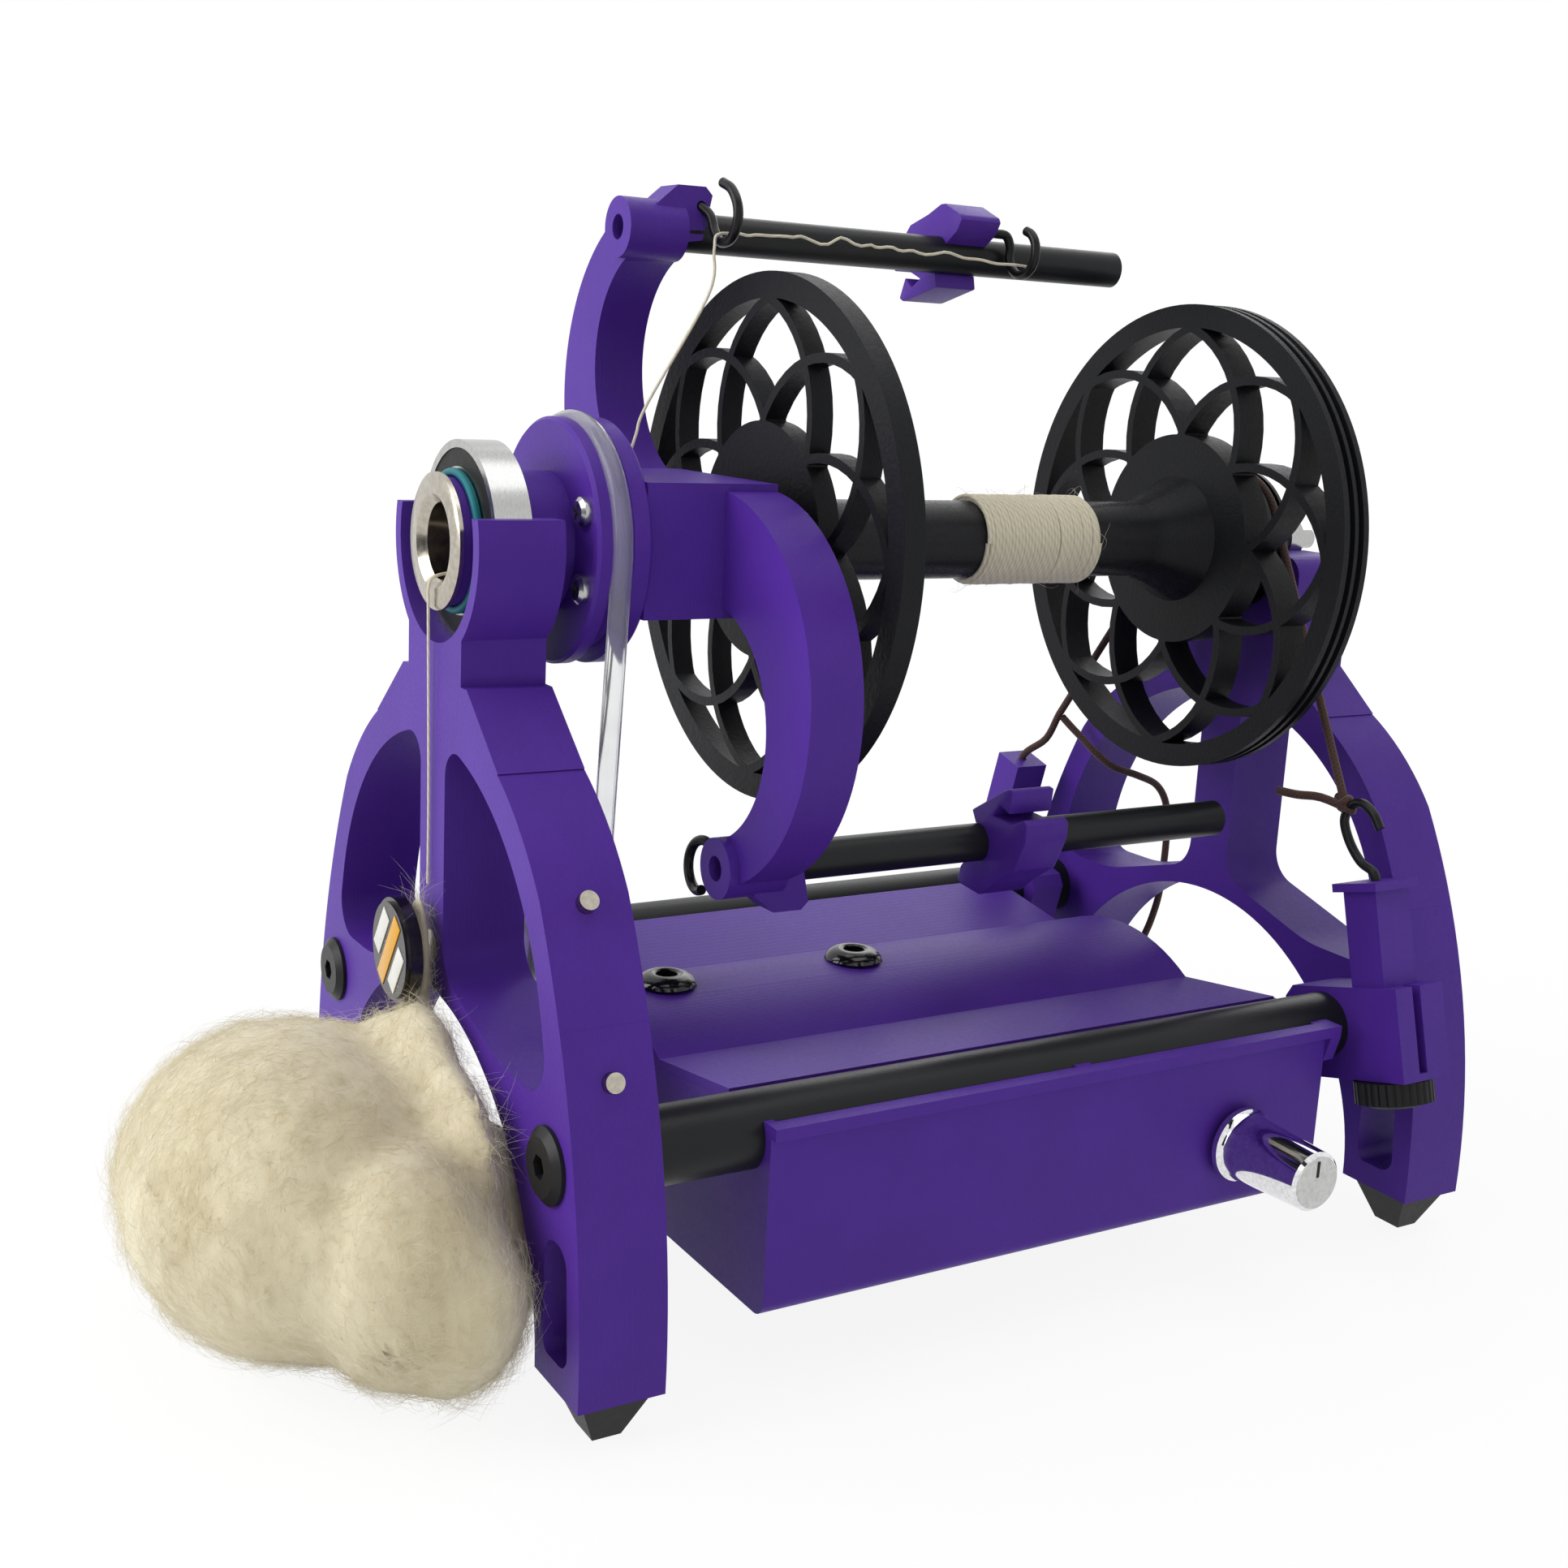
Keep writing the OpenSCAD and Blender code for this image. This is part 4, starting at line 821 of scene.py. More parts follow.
@dataclass
class Stands:
    """The printed stands with their rails, feet, bolts, magnets and button."""

    finishes: Finishes
    button_z: float = -98.0
    button_face_y: float = -16.0
    motif_r: float = 10.6
    stripe_w: float = 4.6
    stripe_pitch: float = 6.21
    stripe_sink: float = 0.1
    stripe_depth: float = 0.3
    stripe_edge: float = 0.12
    slant: float = math.radians(35)
    stripes: tuple[tuple[str, str], ...] = (
        ("left_stripe", "enamel"), ("middle_stripe", "yellow"), ("right_stripe", "enamel"))

    def build(self) -> None:
        """Dresses the stands and puts the motif on the button."""
        f = self.finishes
        dress(f.stand, "front_stand", "rear_stand")
        dress(f.rail, "rails")
        dress(f.bolt, "rail_bolts")
        dress(f.rubber, "rubber_feet")
        dress(f.nickel, "stand_magnets")
        dress(f.button, "button_magnet")
        self.build_motif()

    def build_motif(self) -> None:
        """Puts three slanting stripes, white and yellow, on the button's dark face."""
        for i, (name, paint) in enumerate(self.stripes):
            offset = (i - 1) * self.stripe_pitch
            half = math.sqrt(self.motif_r ** 2 - (abs(offset) + self.stripe_w / 2) ** 2)
            bm = bmesh.new()
            middle = PLACES.at(0, self.button_face_y - self.stripe_sink, self.button_z)
            lie = (Matrix.Translation(middle) @ Matrix.Rotation(self.slant, 4, "Y")
                   @ Matrix.Translation(Vector((offset, 0, 0)) * MM)
                   @ Matrix.Diagonal((self.stripe_w * MM, self.stripe_depth * MM, 2 * half * MM, 1)))
            bmesh.ops.create_cube(bm, size=1, matrix=lie)
            bmesh.ops.bevel(bm, geom=bm.edges[:], offset=self.stripe_edge * MM, segments=2,
                            profile=0.5, affect="EDGES", material=-1)
            mesh = finished(bm, "button_" + name)
            add_piece("button_" + name, mesh, getattr(self.finishes, paint), "base")


@dataclass
class Housing:
    """The motor housing with its covers, grommets, control, knob and inner parts."""

    finishes: Finishes
    knob_tip_x: float = 113.4
    knob_y: float = 185.0
    knob_z: float = -148.5
    knob_r: float = 7.85
    cap_rim: float = 0.9
    cap_depth: float = 0.3
    cap_slope: float = 0.1
    pointer_at: Point = (0.1, -0.1, 3.6)
    pointer_size: Point = (0.4, 0.8, 4.2)
    grommet_steps: int = 48
    grommet_line: tuple[tuple[float, float], ...] = (
        (0.36, -4.5), (0.36, -0.5), (0.42, -0.1), (0.52, 0.0), (0.68, -0.25), (0.85, -1.0),
        (0.97, -2.0), (1.0, -2.8), (0.94, -3.3), (0.8, -3.5))

    def build(self) -> None:
        """Dresses the housing and adds the knob's cap and pointer."""
        f = self.finishes
        dress(f.housing, "housing_front", "housing_rear", "cover_front", "cover_rear")
        self.build_grommets()
        dress(f.steel, "motor", "speed_control")
        dress(f.bolt, "motor_screws")
        dress(f.board, "control_board")
        dress(f.rubber, "power_inlet")
        dress(f.core, "motor_pulley")
        dress(f.chrome, "speed_knob")
        self.build_knob_cap()

    def build_grommets(self) -> None:
        """Turns the two soft rubber grommets in the cover."""
        low, high = (Vector(c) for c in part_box("cover_grommets"))
        outer = (high.x - low.x) / 2
        x = (low.x + high.x) / 2
        middles = [Vector((x, y, high.z)) for y in (low.y + outer, high.y - outer)]
        bm = bmesh.new()
        for middle in middles:
            one = bmesh.new()
            points = [one.verts.new((r * outer, 0, h * MM)) for r, h in self.grommet_line]
            edges = [one.edges.new(pair) for pair in zip(points, points[1:] + points[:1])]
            bmesh.ops.spin(one, geom=points + edges, axis=(0, 0, 1), cent=(0, 0, 0),
                           angle=2 * math.pi, steps=self.grommet_steps, use_merge=True)
            bmesh.ops.transform(one, matrix=Matrix.Translation(middle), verts=one.verts[:])
            bmesh.ops.recalc_face_normals(one, faces=one.faces[:])
            mesh = bpy.data.meshes.new("grommet")
            one.to_mesh(mesh)
            one.free()
            bm.from_mesh(mesh)
            bpy.data.meshes.remove(mesh)
        add_piece("soft_grommets", finished(bm, "soft_grommets"), self.finishes.glossy, "base",
                  ["cover_grommets"])

    def build_knob_cap(self) -> None:
        """Adds the pale cap in the knob's end and the small pointer on it."""
        f = self.finishes
        tip = PLACES.at(self.knob_tip_x, self.knob_y, self.knob_z)
        lie = Matrix.Translation(tip) @ Matrix.Rotation(math.pi / 2, 4, "Y")
        bm = bmesh.new()
        cap_r = self.knob_r - self.cap_rim
        bmesh.ops.create_cone(bm, cap_ends=True, segments=64, radius1=cap_r * MM,
                              radius2=(cap_r - self.cap_slope) * MM, depth=self.cap_depth * MM,
                              matrix=lie)
        bmesh.ops.recalc_face_normals(bm, faces=bm.faces[:])
        add_piece("knob_cap", finished(bm, "knob_cap"), f.pale, "knob")
        bm = bmesh.new()
        shape = (Matrix.Translation(tip + Vector(self.pointer_at) * MM)
                 @ Matrix.Diagonal((*(size * MM for size in self.pointer_size), 1)))
        bmesh.ops.create_cube(bm, size=1, matrix=shape)
        add_piece("knob_pointer", finished(bm, "knob_pointer"), f.rubber, "knob")


@dataclass(frozen=True)
class Clip:
    """A sliding clip: an open ring on the rod, a block for its hook and two pinch tabs."""

    node: str
    y: float
    x: float
    z: float
    turn: float
    length: float = 13.5
    bore: float = 5.06
    opens_at: int = 112
    closes_at: int = 232
    bore_step: int = 8
    edge_r: float = 0.4
    corner_from: float = 25.0
    outline: tuple[tuple[float, float], ...] = (
        (-3.2, 8.2), (9.6, 15.9), (11.4, 16.7), (13.2, 16.4), (12.6, 10.2), (8.4, 11.7), (5.6, 8.4),
        (14.2, 7.9), (18.4, 10.1), (20.2, 8.9), (20.0, 4.5), (16.0, -4.0), (8.6, -9.0), (3.6, -13.2),
        (1.8, -13.8), (-6.6, -13.0), (-7.8, -12.0), (-6.9, -8.7))

    def build(self, material: bpy.types.Material) -> None:
        """Extrudes the clip's outline along its rod and rounds its edges.

        Args:
            material: The clip's finish.
        """
        sweep = [math.radians(a)
                 for a in range(self.closes_at, 360 + self.opens_at, self.bore_step)]
        inner = [(self.bore * math.cos(a), self.bore * math.sin(a)) for a in sweep]
        bm = bmesh.new()
        ring = [bm.verts.new(Vector((x, 0, z)) * MM) for x, z in (*self.outline, *inner)]
        grown = bmesh.ops.extrude_face_region(bm, geom=[bm.faces.new(ring)])["geom"]
        bmesh.ops.translate(bm, vec=Vector((0, self.length * MM, 0)),
                            verts=[g for g in grown if isinstance(g, bmesh.types.BMVert)])
        bmesh.ops.recalc_face_normals(bm, faces=bm.faces[:])
        clear_of_bore = self.bore * 1.05 * MM
        corners = [e for e in bm.edges if e.calc_face_angle(0) > math.radians(self.corner_from)
                   and all(math.hypot(v.co.x, v.co.z) > clear_of_bore for v in e.verts)]
        bmesh.ops.bevel(bm, geom=corners, offset=self.edge_r * MM, segments=2, profile=0.5,
                        affect="EDGES", material=-1, clamp_overlap=True)
        place = Matrix.Translation(PLACES.at(self.x, self.y, self.z))
        turn = Matrix.Rotation(-math.radians(self.turn), 4, "Y")
        bmesh.ops.transform(bm, matrix=place @ turn, verts=bm.verts[:])
        name = self.node + "_body"
        add_piece(name, finished(bm, name, 30), material, self.node, [self.node])


@dataclass(frozen=True)
class Wire:
    """A bent wire hook: its piece, the CAD node that it stands for, and its line."""

    node: str
    body: str
    points: tuple[Point, ...]
    steps: int = 6


def half_turned(points: Sequence[Point]) -> tuple[Point, ...]:
    """Turns places by half a turn round the spin axis."""
    return tuple((-x, y, -z) for x, y, z in points)


@dataclass
class Flyer:
    """The flyer: bearings, pulley, arms, rods, hooks, clips and the yarn led through them."""

    finishes: Finishes
    wire_d: float = 2.6
    rod: Point = (-32.54, 0.0, 75.92)
    upper_clip_y: float = 150.0
    upper_clip_lead: float = 3.0
    upper_clip_turn: float = 163.0
    lower_clip_y: float = 128.0
    lower_clip_lead: float = 5.0
    lower_clip_turn: float = 0.0
    strand_d: float = 0.756
    slack: float = 2.4

    def build(self) -> None:
        """Dresses the flyer and bends its hooks and its yarn."""
        f = self.finishes
        dress(f.flyer, "flyer_pulley", "flyer_arms")
        x, _, z = self.rod
        upper = Clip("upper_clip", self.upper_clip_y + self.upper_clip_lead, x, z,
                     self.upper_clip_turn)
        lower = Clip("lower_clip", self.lower_clip_y + self.lower_clip_lead, -x, -z,
                     self.lower_clip_turn)
        for clip in (upper, lower):
            clip.build(f.flyer)
        dress(f.steel, "front_bearing_outer_ring", "front_bearing_inner_ring", "front_bearing_balls",
              "rear_bearing_outer_ring", "rear_bearing_inner_ring", "rear_bearing_balls",
              "flyer_shaft", "pulley_screws")
        dress(f.rubber, "front_bearing_seals")
        dress(f.nickel, "orifice_grommet")
        dress(f.teal, "o_ring")
        dress(f.rail, "upper_rod", "lower_rod")
        for wire in self.hooks():
            path = smooth_path(PLACES.path(wire.points), wire.steps)
            mesh = tube_mesh(wire.node + "_wire", path, self.wire_d / 2 * MM, 16)
            add_piece(wire.node + "_wire", mesh, f.wire, wire.body, [wire.node])
        self.build_yarn()

    def clip_hook(self, y: float) -> tuple[Point, ...]:
        """Gives the line of a clip's hook on the upper rod.

        Args:
            y: Where the clip's front stands.

        Returns:
            The points of the wire's middle.
        """
        x0, _, z0 = self.rod
        loop_x, loop_y, loop_z, loop_r = 13, 23, 1.6, 6
        local = [(7, 14, 6.6), (7, 18, 6.6), (7, 21.5, 6.2)]
        local += [(loop_x + loop_r * math.cos(math.radians(a)), loop_y,
                   loop_z + loop_r * math.sin(math.radians(a))) for a in range(165, 441, 25)]
        return tuple((x0 + p[0], y + p[1], z0 + p[2]) for p in local)

    def hooks(self) -> list[Wire]:
        """Lists the flyer's hooks.

        Returns:
            The two fixed hooks and the two on the clips.
        """
        upper = [(-34, 75, 83.8), (-29, 75.4, 82.7)]
        upper += [(x, 77, z) for x, z in ((-25.6, 80.2), (-22.7, 76.1), (-19, 73.4), (-13.6, 74.4),
                                          (-10.9, 78.4), (-11.4, 82.5), (-14.7, 86.2), (-19.4, 88))]
        lower = [(34, 67, -83.7), (27.5, 67, -83.7), (24.6, 64.6, -82.6)]
        loop_x, loop_y, loop_z, loop_r, rise = 16.5, 61, -79.6, 6.3, 0.01
        lower += [(loop_x + loop_r * math.cos(math.radians(a)), loop_y - rise * a,
                   loop_z + loop_r * math.sin(math.radians(a))) for a in range(0, 301, 25)]
        return [
            Wire("upper_fixed_hook", "flyer", tuple(upper)),
            Wire("lower_fixed_hook", "flyer", tuple(lower)),
            Wire("upper_clip_hook", "upper_clip", self.clip_hook(self.upper_clip_y)),
            Wire("lower_clip_hook", "lower_clip", half_turned(self.clip_hook(self.lower_clip_y))),
        ]

    def build_yarn(self) -> None:
        """Leads the spun strand through the hub, over the arm and along the rod."""
        f = self.finishes
        radius = self.strand_d / 2 * MM
        through = ((0, 20, 0), (0, 38, 0), (-2, 44, 4), (-7, 46, 15), (-9.5, 50, 25), (-11.5, 54, 33),
                   (-16.6, 72.6, 60), (-17.8, 74.4, 71), (-18.2, 74.9, 74.6), (-18.4, 76.7, 75.6))
        mesh = tube_mesh("flyer_strand", smooth_path(PLACES.path(through), 6), radius, 8)
        add_piece("flyer_strand", mesh, f.yarn, "flyer", ["flyer_yarn"])
        along = ((-18.4, 76.9, 75.6), (-20, 95, 76.2), (-20.8, 120, 76), (-20.6, 145, 75.4),
                 (-20.3, 177, 73.9))
        run = smooth_path(PLACES.path(along), 14)
        for i, point in enumerate(run[1:-1]):
            sway = Vector((noise.noise(Vector((i * 0.31, 1, 2))), 0,
                           noise.noise(Vector((3, i * 0.27, 5)))))
            point += sway * self.slack * MM * math.sin(math.pi * (i + 1) / len(run))
        mesh = tube_mesh("rod_strand", run, radius, 8)
        strand = add_piece("rod_strand", mesh, f.yarn, "", ["rod_yarn"])
        PLACES.at(-18.4, 80, 75.6)
        PLACES.at(-20.3, 172, 73.9)
        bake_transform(strand)


@dataclass
class Bobbin:
    """The bobbin with its lattice flanges and the yarn wound on its core."""

    finishes: Finishes
    core_r: float = 11.1
    wound_y: float = 145.0
    wound_len: float = 39.0
    turns: int = 34
    yarn_d: float = 1.2
    under_depth: float = 0.75
    per_turn: int = 40
    wander_along: float = 0.28
    wander_out: float = 0.22
    stray_hairs: int = 70
    stray_d: float = 0.09
    stray_steps: int = 8

    def build(self) -> None:
        """Dresses the bobbin and winds its yarn."""
        f = self.finishes
        dress(f.bobbin, "bobbin_front_flange", "bobbin_rear_flange")
        dress(f.core, "bobbin_core")
        dress(f.bronze, "bobbin_bushes")
        self.wind("under_yarn", self.core_r - self.under_depth, -1, "yarn_core")
        self.wind("wound_yarn", self.core_r, 1, "yarn_turns")
        self.loosen()

    def wind(self, name: str, bed_r: float, hand: int, node: str) -> None:
        """Winds one layer of the strand, a little unevenly as a hand-fed strand lies.

        Args:
            name: The layer's name.
            bed_r: The radius that it lies on.
            hand: Which way round it goes, 1 or -1.
            node: The node of the wound yarn that it replaces.
        """
        count = self.turns * self.per_turn
        inset = self.yarn_d / 2
        path = []
        for i in range(count + 1):
            share = i / count
            turns = i / self.per_turn
            angle = hand * 2 * math.pi * i / self.per_turn
            along = self.wander_along * noise.noise(Vector((turns * 1.7, 3.1, 0.0)))
            y = self.wound_y + inset + (self.wound_len - self.yarn_d) * share + along
            out = self.wander_out * noise.noise(Vector((0.0, turns * 2.3, 7.0)))
            radius = bed_r + inset + out
            path.append(PLACES.at(radius * math.cos(angle), y, radius * math.sin(angle)))
        mesh = tube_mesh(name, path, self.yarn_d / 2 * MM, 8)
        add_piece(name, mesh, self.finishes.yarn, "bobbin", [node])

    def loosen(self) -> None:
        """Lets some fibres stand off the wound yarn."""
        rng = random.Random(11)
        strays = [self.stray(rng) for _ in range(self.stray_hairs)]
        mesh = hairs_mesh("wound_strays", strays, self.stray_d * MM)
        add_piece("wound_strays", mesh, self.finishes.yarn, "bobbin")

    def stray(self, rng: random.Random) -> list[Vector]:
        """Grows one loose fibre out of the winding.

        Args:
            rng: The seeded source of its chances.

        Returns:
            The fibre's points.
        """
        angle, y = rng.uniform(0, 2 * math.pi), self.wound_y + rng.uniform(0, self.wound_len)
        swing, drift = rng.uniform(-0.7, 0.7), rng.uniform(-5, 5)
        lift, curl = rng.uniform(0.3, 3.2), rng.uniform(-1.5, 1.5)
        hair = []
        for i in range(self.stray_steps + 1):
            t = i / self.stray_steps
            radius = self.core_r + self.yarn_d + lift * math.sin(math.pi * t * 0.8)
            a = angle + swing * t
            hair.append(PLACES.at(radius * math.cos(a), y + drift * t + curl * math.sin(4 * t),
                                  radius * math.sin(a)))
        return hair


@dataclass
class Drive:
    """The clear belt between the flyer's pulley and the motor's."""

    finishes: Finishes
    belt_y: float = 28.75
    motor_z: float = -132.5
    big_r: float = 28.6
    small_r: float = 18.1
    belt_d: float = 5.0
    big_steps: int = 48
    small_steps: int = 32

    def build(self) -> None:
        """Draws the belt as a smooth closed tube."""
        lean = math.asin((self.big_r - self.small_r) / -self.motor_z)
        points = []
        for i in range(self.big_steps + 1):
            a = -lean + (math.pi + 2 * lean) * i / self.big_steps
            points.append(PLACES.at(self.big_r * math.cos(a), self.belt_y, self.big_r * math.sin(a)))
        for i in range(self.small_steps + 1):
            a = math.pi + lean + (math.pi - 2 * lean) * i / self.small_steps
            points.append(PLACES.at(self.small_r * math.cos(a), self.belt_y,
                                    self.motor_z + self.small_r * math.sin(a)))
        mesh = tube_mesh("clear_belt", points, self.belt_d / 2 * MM, 20, closed=True)
        add_piece("clear_belt", mesh, self.finishes.belt, "base", ["drive_belt"])


@dataclass
class Brake:
    """The cord brake: block, slider, hook, thumbwheel, posts and the brown cord."""

    finishes: Finishes
    cord_d: float = 2.4
    knot_r: float = 1.3
    knot_turns: float = 1.6
    knot_steps: int = 12
    hook_d: float = 2.6
    loop_steps: int = 48
    loop_r: float = 19.6
    groove_y: float = 243.0
    lean: float = math.radians(15.5)
    rail: tuple[float, float] = (72.5, -126.0)
    post_u: float = 16.2
    slider_y: float = 233.75
    slider_top: float = 38.7
    left_post_y: float = 233.0
    left_post_top: float = 41.0
    right_knot: Point = (64.2, 233.75, -65.8)
    left_knot: Point = (-65.0, 237.0, -65.0)

    def on_post(self, u: float, y: float, v: float) -> Point:
        """Gives a place in the leaning post's frame on the right rail."""
        c, s = math.cos(self.lean), math.sin(self.lean)
        return self.rail[0] + u * c - v * s, y, self.rail[1] + u * s + v * c

    def leaves_at(self, knot: Point, sign: int) -> float:
        """Gives the angle where the cord leaves the groove towards a knot."""
        far = math.hypot(knot[0], knot[2])
        return math.atan2(knot[2], knot[0]) + sign * math.acos(self.loop_r / far)

    def build(self) -> None:
        """Dresses the brake and lays its cord."""
        f = self.finishes
        dress(f.flyer, "tension_block", "left_cord_post", "tension_slider")
        dress(f.rubber, "thumbwheel")
        hook = (self.on_post(self.post_u, self.slider_y, self.slider_top - 7),
                self.on_post(self.post_u, self.slider_y, self.slider_top - 3),
                self.on_post(self.post_u, self.slider_y, self.slider_top + 2),
                (72.2, 233.75, -80.5), (67.5, 233.75, -76), (64.8, 233.75, -70.5), (66.6, 233.75, -66),
                (70.5, 233.75, -64.5), (74.6, 233.75, -66.5), (77.5, 233.75, -70))
        line = smooth_path(PLACES.path(hook), 6)
        mesh = tube_mesh("slider_hook_wire", line, self.hook_d / 2 * MM, 16)
        add_piece("slider_hook_wire", mesh, f.wire, "slider", ["slider_hook"])
        self.lay_cord()
        self.lay_tail()

    def lay_cord(self) -> None:
        """Lays the cord round the bobbin's groove and down to both sides."""
        start = self.leaves_at(self.right_knot, 1)
        end = 2 * math.pi + self.leaves_at(self.left_knot, -1)
        loop = []
        for i in range(self.loop_steps + 1):
            a = start + (end - start) * i / self.loop_steps
            loop.append(
                PLACES.at(self.loop_r * math.cos(a), self.groove_y, self.loop_r * math.sin(a)))
        left = PLACES.at(*self.left_knot)
        top = loop[-1]
        x, y, z = self.on_post(self.post_u, self.left_post_y, self.left_post_top + 1.5)
        hx, hy, hz = self.on_post(self.post_u, self.left_post_y, self.left_post_top - 8)
        kx, ky, kz = self.left_knot
        down = [left, PLACES.at(kx - 4.5, ky - 1, kz - 9), PLACES.at(-x, y, z), PLACES.at(-hx, hy, hz)]
        run = loop + [top.lerp(left, t) for t in (0.25, 0.5, 0.75)] + smooth_path(down, 5)
        mesh = tube_mesh("cord_left", run, self.cord_d / 2 * MM, 12)
        add_piece("cord_left", mesh, self.finishes.cord, "base", ["brake_cord"])
        knot = PLACES.at(*self.right_knot)
        line = [loop[0].lerp(knot, t / 10) for t in range(11)]
        mesh = tube_mesh("cord_right", line, self.cord_d / 2 * MM, 12)
        strand = add_piece("cord_right", mesh, self.finishes.cord, "",
                           ["brake_cord_right"])
        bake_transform(strand)
        self.tie_knot((knot - loop[0]).normalized())

    def tie_knot(self, along: Vector) -> None:
        """Ties the cord's end on the slider's hook: a tight coil and a short stub.

        Args:
            along: The way that the cord comes in.
        """
        x, y, z = self.right_knot
        knot, side = PLACES.at(x, y, z), along.orthogonal().normalized()
        coil = []
        for i in range(self.knot_steps + 1):
            share = i / self.knot_steps
            out = Quaternion(along, 2 * math.pi * self.knot_turns * share) @ side * self.knot_r
            coil.append(knot + (out + along * self.cord_d * (2 * share - 1)) * MM)
        stub = PLACES.path(
            ((x - 6, y - 3, z + 0.5), (x - 12, y - 6, z + 0.2), (x - 17, y - 8.5, z + 0.5)))
        mesh = tube_mesh("cord_knot", smooth_path(coil + stub, 4), self.cord_d / 2 * MM, 12)
        add_piece("cord_knot", mesh, self.finishes.cord, "slider", ["brake_knot"])

    def lay_tail(self) -> None:
        """Hangs the cord's free end through the rear stand's hole."""
        points = ((-64.5, 238, -65.6), (-61, 240, -69), (-57, 241.5, -72), (-52, 243.5, -76),
                  (-48, 248, -80), (-46.5, 257, -83), (-46.5, 266, -87), (-46.5, 271, -94),
                  (-46, 272, -104), (-46, 272, -115), (-47, 272, -126), (-49, 271.5, -135),
                  (-51, 271, -141))
        path = smooth_path(PLACES.path(points), 8)
        mesh = tube_mesh("cord_tail", path, self.cord_d / 2 * MM, 12)
        tail = add_piece("cord_tail", mesh, self.finishes.cord, "base", ["brake_tail"])


@dataclass(frozen=True)
class Lobe:
    """One rounded mass of the fibre bundle."""

    middle: Point
    half: Point


